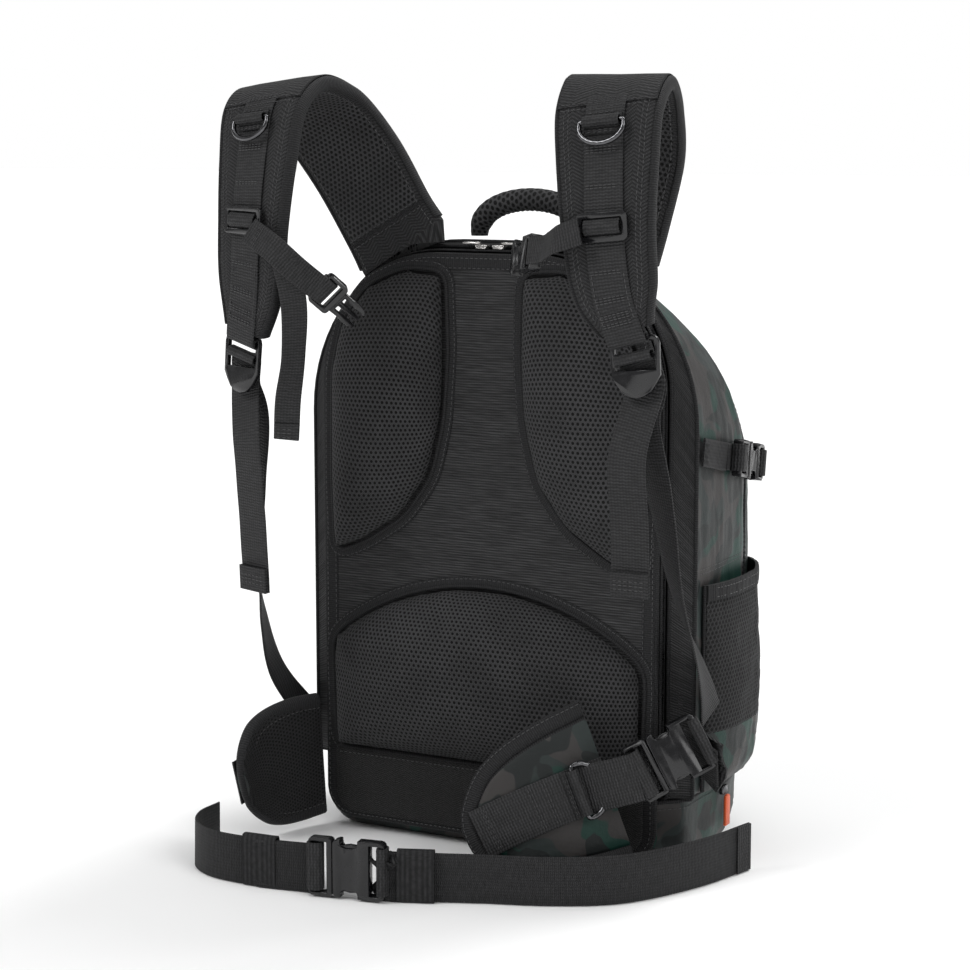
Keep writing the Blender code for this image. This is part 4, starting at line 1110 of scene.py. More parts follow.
def make_pads():
    def at_foot(p):
        return p.y > PAD_Y - 0.0035

    for node, outline, flip in (
        ("back_pad_right", UPPER, 1),
        ("back_pad_left", UPPER, -1),
        ("lumbar_pad", LUMBAR, 1),
    ):
        pad = stuffed(f"{node}_mesh", node, at_foot)
        for vertex in pad.data.vertices:
            vertex.co.y = min(vertex.co.y, PAD_Y)
        wrap_cloth(pad, "air_mesh", Vector((0, -1, 0)))
        stand_for(pad, "air_mesh", node)
        trim = Piece(f"{node}_binding")
        corners = rounded_outline([(x * flip, z) for x, z in outline], 0.012, 4)
        path = resample([Vector((x, 0, z)) for x, z in corners], 0.004, closed=True)
        wide = push_out(path, 0.0036)
        flat_ring(trim, wide, PANEL_Y - 0.0008, 0.0082, 0.0012, crown=0.0007)
        rim = push_out(path, 0.0004)
        tube(trim, [Vector((p.x, PAD_Y - 0.0018, p.z)) for p in rim], 0.0017, "binding", closed=True)
        seam = push_out(path, 0.0062)
        line = [Vector((p.x, PANEL_Y - 0.0021, p.z)) for p in [*seam, seam[0]]]
        stitch_row(trim, line, [Vector((0, -1, 0))] * len(line))
        trim.ride_on("pack")


def push_out(path, amount):
    """A closed path in the x z plane, moved outward by amount."""
    middle = sum(path, Vector()) / len(path)
    made = []
    for i, p in enumerate(path):
        along = (path[(i + 1) % len(path)] - path[i - 1]).normalized()
        away = along.cross(Vector((0, 1, 0)))
        if away.dot(p - middle) < 0:
            away = -away
        made.append(p + away * amount)
    return made


def make_lower_panel():
    outline = [(0.138, 0.0700), (-0.138, 0.0700), *arc((-0.120, 0.034), 0.018, 180, 270, 6)]
    outline += arc((0.120, 0.034), 0.018, 270, 360, 6)
    path = resample([Vector((x, 0, z)) for x, z in outline], 0.005, closed=True)
    piece = Piece("lower_panel_cloth")
    rings = []
    middle = 0.045
    steps = [(1.0, 0.0), (1.0, 0.0012), (0.992, 0.0022), (0.95, 0.0026), (0.8, 0.003), (0.6, 0.0031)]
    for share, depth in [*steps, (0.4, 0.0032), (0.2, 0.0032)]:
        rings.append([Vector((p.x * share, PAD_Y - depth, middle + (p.z - middle) * share)) for p in path])
    coords = [[(p.x, p.z) for p in [*ring, ring[0]]] for ring in rings]
    piece.loft(rings, coords, "panel_twill", "panel_twill", "panel_twill")
    piece.stand_for("twill", "lower_back_panel", sharp_deg=50)
    trim = Piece("lower_panel_piping")
    tube(trim, [(x, PAD_Y - 0.0024, 0.0708) for x in np.linspace(-0.137, 0.137, 40)], 0.0013, "binding")
    line = [Vector((x, PAD_Y - 0.0031, 0.0660)) for x in np.linspace(-0.134, 0.134, 60)]
    stitch_row(trim, line, [Vector((0, -1, 0))] * 60)
    trim.ride_on("pack")


# ---------------------------------------------------------------- shoulder straps
# Each pad's middle line and width direction, and the routes of its webbings, as the frame has them.
SHOULDERS = {
    "left": {
        "points": [
            (-0.0780, -0.0925, 0.4770),
            (-0.0920, -0.0940, 0.5000),
            (-0.1160, -0.1020, 0.5450),
            (-0.1380, -0.1220, 0.5840),
            (-0.1460, -0.1560, 0.6010),
            (-0.1460, -0.1860, 0.5850),
            (-0.1450, -0.1990, 0.5450),
            (-0.1460, -0.2050, 0.5000),
            (-0.1500, -0.2030, 0.4550),
            (-0.1580, -0.1970, 0.4180),
        ],
        "sides": [
            (0.920, 0.000, 0.390),
            (0.900, 0.000, 0.430),
            (0.910, 0.020, 0.400),
            (0.950, 0.000, 0.250),
            (0.980, -0.100, 0.120),
            (0.975, -0.180, 0.040),
            (0.970, -0.220, 0.000),
            (0.970, -0.240, 0.000),
            (0.970, -0.240, 0.000),
            (0.970, -0.240, 0.000),
        ],
        "lower": [
            (-0.1610, -0.1830, 0.3500),
            (-0.1670, -0.1740, 0.3000),
            (-0.1780, -0.1560, 0.2150),
            (-0.1850, -0.1260, 0.1400),
            (-0.1780, -0.0860, 0.0880),
        ],
        "lower_sides": [
            (0.970, -0.240, 0.000),
            (0.900, -0.440, 0.000),
            (0.600, -0.800, 0.000),
            (0.250, -0.960, 0.000),
            (0.060, -0.990, 0.000),
        ],
        "tail": [
            (-0.1590, -0.2020, 0.3610),
            (-0.1590, -0.1990, 0.3300),
            (-0.1590, -0.1920, 0.2700),
            (-0.1600, -0.1870, 0.2120),
        ],
    },
    "right": {
        "points": [
            (0.0970, -0.0925, 0.4760),
            (0.1090, -0.0930, 0.5100),
            (0.1220, -0.0990, 0.5560),
            (0.1290, -0.1220, 0.5900),
            (0.1360, -0.1540, 0.6020),
            (0.1410, -0.1820, 0.5820),
            (0.1450, -0.1930, 0.5450),
            (0.1490, -0.1990, 0.5000),
            (0.1540, -0.1980, 0.4580),
            (0.1610, -0.1930, 0.4300),
        ],
        "sides": [
            (0.920, 0.000, -0.390),
            (0.950, 0.000, -0.300),
            (0.985, 0.000, -0.150),
            (1.000, 0.000, -0.060),
            (1.000, 0.000, 0.000),
            (1.000, 0.020, 0.020),
            (1.000, 0.020, 0.030),
            (1.000, 0.020, 0.060),
            (0.990, 0.000, 0.120),
            (0.985, 0.000, 0.160),
        ],
        "lower": [
            (0.1660, -0.1790, 0.3620),
            (0.1740, -0.1640, 0.3100),
            (0.1790, -0.1360, 0.2250),
            (0.1810, -0.0950, 0.1640),
            (0.1800, -0.0740, 0.1270),
        ],
        "lower_sides": [
            (0.980, 0.060, 0.160),
            (0.900, -0.440, 0.000),
            (0.620, -0.780, 0.000),
            (0.240, -0.970, 0.000),
            (-0.080, -0.990, 0.000),
        ],
        "tail": [
            (0.1630, -0.1975, 0.3730),
            (0.1630, -0.1950, 0.3400),
            (0.1625, -0.1890, 0.2900),
            (0.1620, -0.1840, 0.2360),
        ],
    },
}
SPAN = 12  # frames between two of a strap's points
PAD = 0.012
CAP = (3.15, 4.95)  # where each pad's sewn cover starts and ends
ROOT_SEAM = 0.92  # where the spacer mesh gives way to plain cloth
LOCK_DROP = 0.0240  # from the pad's end down to the middle of its ladder lock
PAD_HALVES = [0.042, 0.040, 0.040, 0.040, 0.040, 0.039, 0.037, 0.034, 0.031, 0.020]
SHOULDER_WEB = 0.030
WEB = 0.0016
D_RING_AT = 5.30
SLIDER_AT = 6.95


def arch_top(x):
    """Height of the bag's top where a shoulder pad is sewn on."""
    beyond = max(0.0, abs(x) - 0.0450)
    return 0.4838 - 0.1090 + math.sqrt(0.1090**2 - beyond**2)


def pad_profile(half):
    """Section of a shoulder pad: rolled edges, a puffed outer face and a fuller inner one."""
    t = PAD / 2
    r = 0.0052
    outer = []
    for share in (-1.0, -0.86, -0.72, -0.58, -0.44, -0.2, 0.0, 0.2, 0.44, 0.58, 0.72, 0.86, 1.0):
        across = share * (half - r)
        puff = 0.0011 * math.exp(-(((abs(share) - 0.72) / 0.17) ** 2))
        outer.append((across, t - 0.0012 + puff + 0.0008))
    turn = np.linspace(0.35, math.pi - 0.35, 7)
    right = [(half - r + r * math.sin(a), (t - 0.0004) * math.cos(a)) for a in turn]
    inner = []
    for share in (1.0, 0.8, 0.6, 0.35, 0.0, -0.35, -0.6, -0.8, -1.0):
        inner.append((share * (half - r), -t - 0.0009 * (1 - share**4)))
    left = [(-a, b) for a, b in reversed(right)]
    return [*outer, *right, *inner, *left]


def make_shoulder(side):
    strap = SHOULDERS[side]
    frames = strap_frames(strap["points"], strap["sides"], SPAN)
    halves = [v.x for v in smooth_curve([(half, 0, 0) for half in PAD_HALVES], SPAN)]
    body = f"shoulder_{side}"

    def finish(i, k):
        return "air_mesh" if 20 <= k < 28 and i > ROOT_SEAM * SPAN else "twill"

    piece = Piece(f"shoulder_{side}_cloth")
    soft = []
    for i, (centre, across, out) in enumerate(frames):
        ripple = 0.0006 * fractal(centre, 0.022, 2, 4.0)
        soft.append((centre + out * ripple * 0.4, across, out))
    sweep(piece, soft, lambda i: pad_profile(halves[i] * (1 + 0.008 * math.sin(i * 0.9))), finish)
    count = len(pad_profile(0.03))
    for k in range(count):
        x, y, z = piece.verts[k]
        piece.verts[k] = (x, y, min(z, arch_top(x) + 0.0005) if z < arch_top(x) else arch_top(x))
    pad = piece.stand_for("twill", f"shoulder_pad_{side}", sharp_deg=60)

    trim = Piece(f"shoulder_{side}_trim")
    top = PAD / 2
    for sign in (-1, 1):
        for place in ((0.0070, 0.0001), (0.0104, 0.0004)):
            inset, level = place
            line = [(c + s * sign * (h - inset), o) for (c, s, o), h in zip(frames[6:-4], halves[6:-4])]
            stitch_row(trim, [p + o * (top + level) for p, o in line], [o for _, o in line])
        edge = [(c + s * sign * (h - 0.0008), s, o) for (c, s, o), h in zip(frames, halves)]
        sweep(trim, edge[3:], oval_profile(0.0026, 0.0056, 12), "binding")
        line = [(c + s * sign * (h - 0.0062), o) for (c, s, o), h in zip(frames[1:-4], halves[1:-4])]
        stitch_row(trim, [p - o * (top + 0.0008) for p, o in line], [-o for _, o in line])
    low, high = CAP
    cap_halves = halves[int(low * SPAN) : int(high * SPAN) + 1]
    cap = frames[int(low * SPAN) : int(high * SPAN) + 1]
    cover_strip(trim, cap, [h - 0.0012 for h in cap_halves], top + 0.0010, "twill")
    for place in (low + 0.05, high - 0.07, high + 0.05):
        centre, across, out = frame_at(frames, place, SPAN)
        half = halves[int(place * SPAN)] - 0.004
        bar_tack(trim, (centre, across, out), half * 2, top + 0.0021, rows=1)
    centre, across, out = frame_at(frames, ROOT_SEAM, SPAN)
    half = halves[int(ROOT_SEAM * SPAN)] - 0.003
    ridge = [(centre - out * (top + 0.0006) + across * half * share) for share in (-1, -0.5, 0, 0.5, 1)]
    tube(trim, ridge, 0.0009, "binding")
    bar_tack(trim, (centre, across, -out), half * 2, top + 0.0014, rows=2, gap=0.0060)
    trim.ride_on(body)
    make_strap_webbing(side, frames)


def cover_strip(piece, frames, halves, level, finish):
    """A thin cover on the outer face of a strap, as wide as halves says."""
    thick = 0.0007
    outer = ((-1, -thick), (-0.97, 0), (-0.5, thick), (0, thick), (0.5, thick), (0.97, 0), (1, -thick))
    rows = []
    for (centre, across, out), half in zip(frames, halves):
        line = []
        for share, lift in outer:
            line.append(centre + across * half * share + out * (level + lift))
        line += [centre + across * half * share + out * (level - thick * 1.5) for share in (0.9, -0.9)]
        rows.append(line)
    at = lengths([f[0] for f in frames])
    coords = [[(k * 0.011, v) for k in range(10)] for v in at]
    piece.loft(rows, coords, finish, finish, finish)


def downward(width, out):
    along = width.cross(out)
    return along if along.z < 0 else -along


def lock_place(frames):
    """The ladder lock: x up, z out."""
    end, across, out = frames[-1]
    down = downward(across, out)
    return placed(end + out * 0.0020 + down * LOCK_DROP, -down, out)


def make_strap_webbing(side, frames):
    """The webbing sewn down the pad, with its D-ring tab and its loop round the ladder lock."""
    level = PAD / 2 + 0.0003 + WEB / 2
    _, across, out = frames[-1]
    down = downward(across, out)
    run = shift_along(frames[int(4.75 * SPAN) :], level)
    last = run[-1]
    run.append((last[0] + down * 0.0060 - out * 0.0002, across, out))
    run.append((last[0] + down * 0.0095 - out * 0.0010, across, out))
    piece = Piece(f"shoulder_{side}_webbing")
    puffs = ripple_frames(run, 0.0005, 0.030, 6.0)
    web(piece, puffs, SHOULDER_WEB)
    sections = [(4.85, 3), (5.75, 3), (6.35, 2), (7.65, 2), (8.15, 3), (8.55, 3), (8.75, 2)]
    for place, rows in sections:
        at = frame_at(frames, place, SPAN)
        face = level + WEB / 2 + 0.0004
        bar_tack(piece, at, SHOULDER_WEB - 0.003, face, rows=rows, gap=0.0018, pitch=0.0034)
    for share in (-1, 1):
        edge = share * (SHOULDER_WEB / 2 - 0.0025)
        strap_stitches(piece, frames[int(7.7 * SPAN) : -3], edge, level + WEB / 2 + 0.0003)
    centre, across, out = frame_at(frames, D_RING_AT, SPAN)
    ring_centre = centre + out * (PAD / 2 + 0.0003 + WEB + 0.0044)
    folded_tab(piece, ring_centre, across, out, SHOULDER_WEB - 0.002, 0.0035)
    lock = lock_place(frames)
    bar_loop(piece, lock, 0.0167, 0.0034, 0.0032, SHOULDER_WEB - 0.0005)
    piece.stand_for("webbing", f"shoulder_webbing_{side}")

    hanging_tail(side, lock)
    strap = SHOULDERS[side]
    route = [lock @ Vector((0.0030, 0, -0.0048)), lock @ Vector((-0.0200, 0, -0.0062)), *strap["lower"]]
    sides = [strap["lower_sides"][0]] * 2 + strap["lower_sides"]
    lower = strap_frames(route, sides, SPAN)
    piece = Piece(f"lower_{side}_webbing")
    web(piece, ripple_frames(lower, 0.0008, 0.05, 7.0), SHOULDER_WEB)
    bar_tack(piece, frame_at(lower, 5.85, SPAN), SHOULDER_WEB - 0.004, WEB / 2 + 0.0002, rows=4, gap=0.0022)
    stretched(piece, f"lower_webbing_{side}", strap["lower"][0], strap["lower"][-1])


def ripple_frames(frames, amount, scale, seed):
    """Lets webbing lie a little unevenly: moved off its face and twisted by smooth noise."""
    made = []
    for centre, across, out in frames:
        lift = fractal(centre, scale, 2, seed) * amount
        turn = fractal(centre, scale * 1.5, 2, seed + 9.0) * amount * 40
        turned = (across + out * turn * 0.6).normalized()
        made.append((centre + out * lift, turned, (out - across * turn * 0.6).normalized()))
    return made


def folded_tab(piece, centre, across, out, width, radius):
    """A tab of webbing folded round a ring's bar, sewn down above and below it."""
    along = across.cross(out)
    points = []
    for deg in range(-90, 271, 30):
        a = math.radians(deg)
        points.append(centre + along * (radius * math.sin(a)) + out * (radius * math.cos(a)))
    frames = [(p, across, (p - centre).normalized()) for p in points]
    sweep(piece, frames, flat_profile(width, 0.0013), "webbing")
    for sign in (-1, 1):
        start = centre - out * 0.0028 + along * sign * 0.0028
        legs = [(start + along * sign * 0.0050 * t - out * (0.0006 * t), across, out) for t in (0, 0.5, 1.0)]
        sweep(piece, legs, flat_profile(width, 0.0013), "webbing")
        seam = (start + along * sign * 0.0034, across, out)
        bar_tack(piece, seam, width - 0.004, 0.0006, rows=2, gap=0.0015)


def hanging_tail(side, lock):
    """The free end of the lower webbing: over the lock's middle bar, then down to a sewn end."""
    strap = SHOULDERS[side]
    width = strap["sides"][-1]
    route = [lock @ Vector((-0.0010, 0, -0.0034)), lock @ Vector((-0.0200, 0, -0.0038)), *strap["tail"][1:]]
    frames = strap_frames(route, [width] * len(route), SPAN)
    piece = Piece(f"tail_{side}_webbing")
    web(piece, ripple_frames(frames, 0.0012, 0.06, 2.0 if side == "left" else 5.0), SHOULDER_WEB)
    hem(piece, frames, SHOULDER_WEB)
    bar_loop(piece, lock, 0.0040, 0.0032, 0.0036, SHOULDER_WEB - 0.0005)
    stretched(piece, f"webbing_tail_{side}", route[1], route[3])


def hem(piece, frames, width, layers=2, length=0.020):
    """Turns the end of a webbing over on itself, with rows of stitches."""
    total = lengths([f[0] for f in frames])[-1]
    stretch = part_of(frames, 1 - length / total, 1.0)
    for layer in range(1, layers + 1):
        web(piece, shift_along(stretch, WEB * 0.95 * layer), width * 0.985)
    middle = stretch[len(stretch) // 2]
    bar_tack(piece, middle, width - 0.004, WEB * (layers + 0.5), rows=3, gap=0.0032)


# ---------------------------------------------------------------- plastic and metal hardware
def softened(name, node, finish, width=0.0006):
    """A copy of a moulded or cast node, with its edges rounded."""
    obj = copied(name, node)
    bm = bmesh.new()
    bm.from_mesh(obj.data)
    bmesh.ops.dissolve_limit(bm, angle_limit=math.radians(1.0), verts=bm.verts, edges=bm.edges)
    bm.to_mesh(obj.data)
    bm.free()
    bevel = obj.modifiers.new("bevel", "BEVEL")
    bevel.width = width
    bevel.segments = 2
    bevel.limit_method = "ANGLE"
    bevel.angle_limit = math.radians(35)
    bevel.harden_normals = True
    applied(obj)
    obj.data.materials.clear()
    obj.data.materials.append(Finish.made[finish])
    obj.data.shade_smooth()
    obj.data.set_sharp_from_angle(angle=math.radians(40))
    return obj


def make_hardware():
    moulded = ["sternum_buckle_male", "sternum_buckle_female", "waist_buckle_female", "waist_buckle_male"]
    moulded += ["hip_buckle_male_right", "hip_buckle_female_right"]
    for side in SIGNS:
        moulded += [f"ladder_lock_{side}", f"sternum_slider_{side}"]
        moulded += [f"side_buckle_male_{side}", f"side_buckle_female_{side}"]
    for node in moulded:
        stand_for(softened(f"{node}_moulding", node, "acetal"), "acetal", node)
    for node in ("d_ring_left", "d_ring_right", "hip_d_ring"):
        ring = copied(f"{node}_wire", node)
        smooth = ring.modifiers.new("divide", "SUBSURF")
        smooth.levels = 1
        smooth.render_levels = 1
        applied(ring)
        ring.data.materials.clear()
        ring.data.materials.append(Finish.made["black_metal"])
        ring.data.shade_smooth()
        stand_for(ring, "black_metal", node)
    small = []
    for side in SIGNS:
        small.append((f"rear_slider_{side}_metal", f"rear_zip_slider_{side}", "zip_metal", 0.0005))
        small.append((f"rear_pull_{side}_metal", f"rear_zip_pull_{side}", "zip_metal", 0.0004))
    small.append(("base_slider_metal", "base_zip_slider", "black_metal", 0.0005))
    for name, node, finish, rounding in small:
        stand_for(softened(name, node, finish, rounding), finish, node)
    pull = softened("base_pull_cord", "base_zip_pull", "orange_cord", 0.0005)
    middle = sum((v.co for v in pull.data.vertices), Vector()) / len(pull.data.vertices)
    for vert in pull.data.vertices:
        vert.co.x = middle.x + (vert.co.x - middle.x) * 1.8
        vert.co.y = middle.y + (vert.co.y - middle.y) * 1.5
    stand_for(pull, "orange_cord", "base_zip_pull")
    front = softened("front_slider_metal", "front_zip_slider", "orange_cord", 0.0005)
    stand_for(front, "orange_cord", "front_zip_slider")
    divider = softened("divider_cloth", "compartment_divider", "lining", 0.0015)
    stand_for(divider, "air_mesh", "compartment_divider")


# ---------------------------------------------------------------- sternum strap
STERNUM_LEFT = [
    (-0.1370, -0.2240, 0.4960),
    (-0.1130, -0.2290, 0.4830),
    (-0.1000, -0.2190, 0.4680),
    (-0.0925, -0.2070, 0.4570),
]
STERNUM_TAIL = [
    (-0.1065, -0.2235, 0.4750),
    (-0.1070, -0.2100, 0.4400),
    (-0.1130, -0.2020, 0.4000),
    (-0.1210, -0.1980, 0.3650),
    (-0.1240, -0.1960, 0.3350),
]
TAIL_SIDES = [(0.95, 0.30, 0.10), (0.80, 0.60, 0), (0.55, 0.83, 0), (0.80, 0.60, 0), (0.95, 0.30, 0)]
STERNUM_RIGHT = [
    (0.1350, -0.2170, 0.5000),
    (0.1170, -0.2160, 0.4940),
    (0.1040, -0.2060, 0.4890),
    (0.0950, -0.1970, 0.4860),
]
STERNUM_WEB = 0.020


STERNUM_MALE = placed((-0.0820, -0.1880, 0.4420), (0.45, 0.62, -0.64), (0.55, -0.78, -0.30))
STERNUM_FEMALE = placed((0.0560, -0.1600, 0.4760), (0.74, -0.64, 0.18), (-0.50, -0.80, 0.20))


def slider_bump(piece, side):
    """The sternum strap's own loop, seen in its slider's window."""
    strap = SHOULDERS[side]
    frames = strap_frames(strap["points"], strap["sides"], SPAN)
    centre, across, out = frame_at(frames, SLIDER_AT, SPAN)
    down = across.cross(out)
    made = []
    for k in range(13):
        a = math.pi * k / 12
        rise = PAD / 2 + 0.0003 + WEB + 0.0016 + 0.0042 * math.sin(a)
        away = (out * math.sin(a) - down * math.cos(a)).normalized()
        made.append((centre + out * rise - down * 0.0052 * math.cos(a), across, away))
    sweep(piece, made, flat_profile(SHOULDER_WEB - 0.0020, WEB), "webbing")


def make_sternum():
    end = STERNUM_MALE @ Vector((MALE_BAR, 0, 0.0052))
    run = strap_frames([*STERNUM_LEFT, end], [(0.45, 0.25, 0.86)] * 4 + [(0.685, 0.217, 0.692)], SPAN)
    tail = strap_frames(STERNUM_TAIL, TAIL_SIDES, SPAN)
    piece = Piece("sternum_left_webbing")
    web(piece, ripple_frames(run, 0.0006, 0.04, 3.0), STERNUM_WEB)
    web(piece, ripple_frames(tail, 0.0010, 0.05, 1.0), STERNUM_WEB)
    hem(piece, tail, STERNUM_WEB, 1, 0.014)
    bar_tack(piece, frame_at(run, 0.35, SPAN), STERNUM_WEB - 0.003, WEB / 2 + 0.0003, rows=3, gap=0.0016)
    bar_loop(piece, STERNUM_MALE, *MALE_LOOP, STERNUM_WEB)
    slider_bump(piece, "left")
    piece.stand_for("webbing", "sternum_webbing_left")
    end = STERNUM_FEMALE @ Vector((FEMALE_BAR, 0, 0.0057))
    right = strap_frames([*STERNUM_RIGHT, end], [(0.10, 0.20, 0.97)] * 5, SPAN)
    piece = Piece("sternum_right_webbing")
    web(piece, ripple_frames(right, 0.0006, 0.04, 4.0), STERNUM_WEB)
    bar_tack(piece, frame_at(right, 0.45, SPAN), STERNUM_WEB - 0.003, WEB / 2 + 0.0003, rows=3, gap=0.0016)
    bar_loop(piece, STERNUM_FEMALE, *FEMALE_LOOP, STERNUM_WEB)
    slider_bump(piece, "right")
    piece.stand_for("webbing", "sternum_webbing_right")


# ---------------------------------------------------------------- hip wings and waist belt
WINGS = {
    "left": {
        "points": [
            (-0.1520, -0.1080, 0.0620),
            (-0.1630, -0.1320, 0.0600),
            (-0.1730, -0.1570, 0.0560),
            (-0.1790, -0.1820, 0.0500),
        ],
        "sides": [(0.02, 0.00, 1.00), (0.02, 0.00, 1.00), (0.00, 0.05, 1.00), (0.00, 0.10, 1.00)],
        "half_widths": [0.050, 0.051, 0.046, 0.032],
    },
    "right": {
        "points": [
            (0.1240, -0.1420, 0.0840),
            (0.1010, -0.1640, 0.0740),
            (0.0730, -0.1820, 0.0600),
            (0.0450, -0.1960, 0.0440),
        ],
        "sides": [(-0.24, 0.06, 0.96), (-0.24, 0.08, 0.96), (-0.30, 0.10, 0.94), (-0.36, 0.12, 0.92)],
        "half_widths": [0.053, 0.049, 0.040, 0.021],
    },
}
WING = 0.010
WING_GAP = 0.0010
ROOT_FADE = 18  # frames from a wing's root over which its inner side fills out
WAIST_WEB = 0.038
BELT_Z = 0.0195
BELT_RIGHT = [(-0.0010, -0.2460), (0.0540, -0.2240), (0.1050, -0.2040)]
BELT_RIGHT += [(0.1520, -0.1730), (0.1860, -0.1160), (0.2050, -0.0520)]
BELT_LEFT = [(-0.0740, -0.2590), (-0.1100, -0.2650), (-0.1500, -0.2640)]
BELT_LEFT += [(-0.1770, -0.2500), (-0.1910, -0.2260), (-0.1920, -0.1980)]


def wing_frames(side):
    wing = WINGS[side]
    frames = strap_frames(wing["points"], wing["sides"], SPAN)
    flip = 1 if side == "left" else -1
    return [(c, w, o * flip) for c, w, o in frames]


def make_wing(side):
    """A padded wing: printed cloth outside, spacer mesh inside and a wide binding round it."""
    frames = wing_frames(side)
    halves = [v.x for v in smooth_curve([(h, 0, 0) for h in WINGS[side]["half_widths"]], SPAN)]
    count = len(frames)
    rounded = []
    for i, half in enumerate(halves):
        share = i / (count - 1)
        tip = math.sqrt(max(0.0, 1 - max(0.0, (share - 0.72) / 0.28) ** 2.2)) if share > 0.72 else 1.0
        rounded.append(half * (0.30 + 0.70 * tip))

    def profile(i):
        half = rounded[i]
        t = WING / 2
        stuffing = 0.0022 * min(1.0, i / ROOT_FADE)
        made = []
        for share in (-0.93, -0.8, -0.6, -0.3, 0.0, 0.3, 0.6, 0.8, 0.93):
            made.append((share * half, t - 0.0006 + 0.0006 * (1 - share**2)))
        made += [(half * 0.985, t * 0.62), (half, 0.0), (half * 0.985, -t * 0.62)]
        for share in (0.93, 0.8, 0.6, 0.3, 0.0, -0.3, -0.6, -0.8, -0.93):
            made.append((share * half, -t - stuffing * (1 - abs(share) ** 3)))
        made += [(-half * 0.985, -t * 0.62), (-half, 0.0), (-half * 0.985, t * 0.62)]
        return made

    def finish(i, k):
        return "camo" if k < 8 or k >= 23 else "wing_mesh" if 11 <= k < 20 else "binding"

    piece = Piece(f"hip_wing_{side}_cloth")
    sweep(piece, frames, profile, finish)
    wing = piece.stand_for("air_mesh", f"hip_wing_{side}", sharp_deg=60)
    trim = Piece(f"hip_wing_{side}_binding")
    rim = [c + w * h for (c, w, _), h in zip(frames, rounded)]
    tip = [frames[-1][0] + frames[-1][1] * rounded[-1] * s for s in (0.6, 0.2, -0.2, -0.6)]
    back = [c - w * h for (c, w, _), h in zip(frames, rounded)][::-1]
    outs = [o for _, _, o in frames]
    outs = outs + [outs[-1]] * 4 + outs[::-1]
    path = [*rim, *tip, *back]
    loop = []
    for i, p in enumerate(path):
        along = (path[min(i + 1, len(path) - 1)] - path[max(i - 1, 0)]).normalized()
        out = (outs[i] - along * outs[i].dot(along)).normalized()
        loop.append((p, out.cross(along), out))
    inward = [(p - s * 0.0045, s, o) for p, s, o in loop]
    sweep(trim, inward, wrap_profile(0.0062, WING / 2 + 0.0006), "binding")
    for level, facing in ((WING / 2 + 0.0010, 1), (-WING / 2 - 0.0012, -1)):
        points = [p - s * 0.0092 + o * level for p, s, o in loop]
        stitch_row(trim, points, [o * facing for _, _, o in loop])
    trim.ride_on(BODY_OF[f"hip_wing_{side}"])
    return frames


def wrap_profile(half, thick):
    """A tape folded over an edge: thick at the edge, thinner where it ends on both faces."""
    return [
        (-half, thick * 0.90),
        (-half * 0.2, thick * 1.02),
        (half * 0.55, thick * 0.92),
        (half * 0.92, thick * 0.5),
        (half * 1.02, 0.0),
        (half * 0.92, -thick * 0.5),
        (half * 0.55, -thick * 0.92),
        (-half * 0.2, -thick * 1.02),
        (-half, -thick * 0.90),
        (-half * 0.9, 0.0),
    ]


WAIST = placed((-0.0450, -0.2600, 0.0240), (0.985, 0.175, 0), (0.175, -0.985, 0))


def belt_frames(bar, points):
    start = WAIST @ Vector((bar, 0, -0.0052))
    start.z = BELT_Z + 0.0010
    route = [start, *((x, y, BELT_Z) for x, y in points)]
    return strap_frames(route, [(0, 0, 1)] * len(route), SPAN)


def keeper(piece, frame):
    """An elastic loop round the belt, just clear of the floor."""
    length, thick = 0.028, 0.0011
    centre, side, out = frame
    along = side.cross(out)
    half, deep = WAIST_WEB / 2 + 0.0002, 0.0036
    centre = Vector((centre.x, centre.y, half + thick + 0.0004)) + out * 0.0010
    outline = oval_profile(half + thick, deep + thick, 20, 0.42)
    inner = oval_profile(half, deep, 20, 0.42)
    rows = []
    rings = [(outline, -1), (outline, -0.4), (outline, 0.4), (outline, 1), (inner, 1), (inner, -1)]
    for ring, shift in rings:
        rows.append([centre + side * a + out * b + along * (shift * length / 2) for a, b in ring])
    coords = [[(k * 0.004, n * 0.004) for k in range(21)] for n in range(7)]
    piece.grid(rows, coords, "binding", close_rows=True, close_across=True)


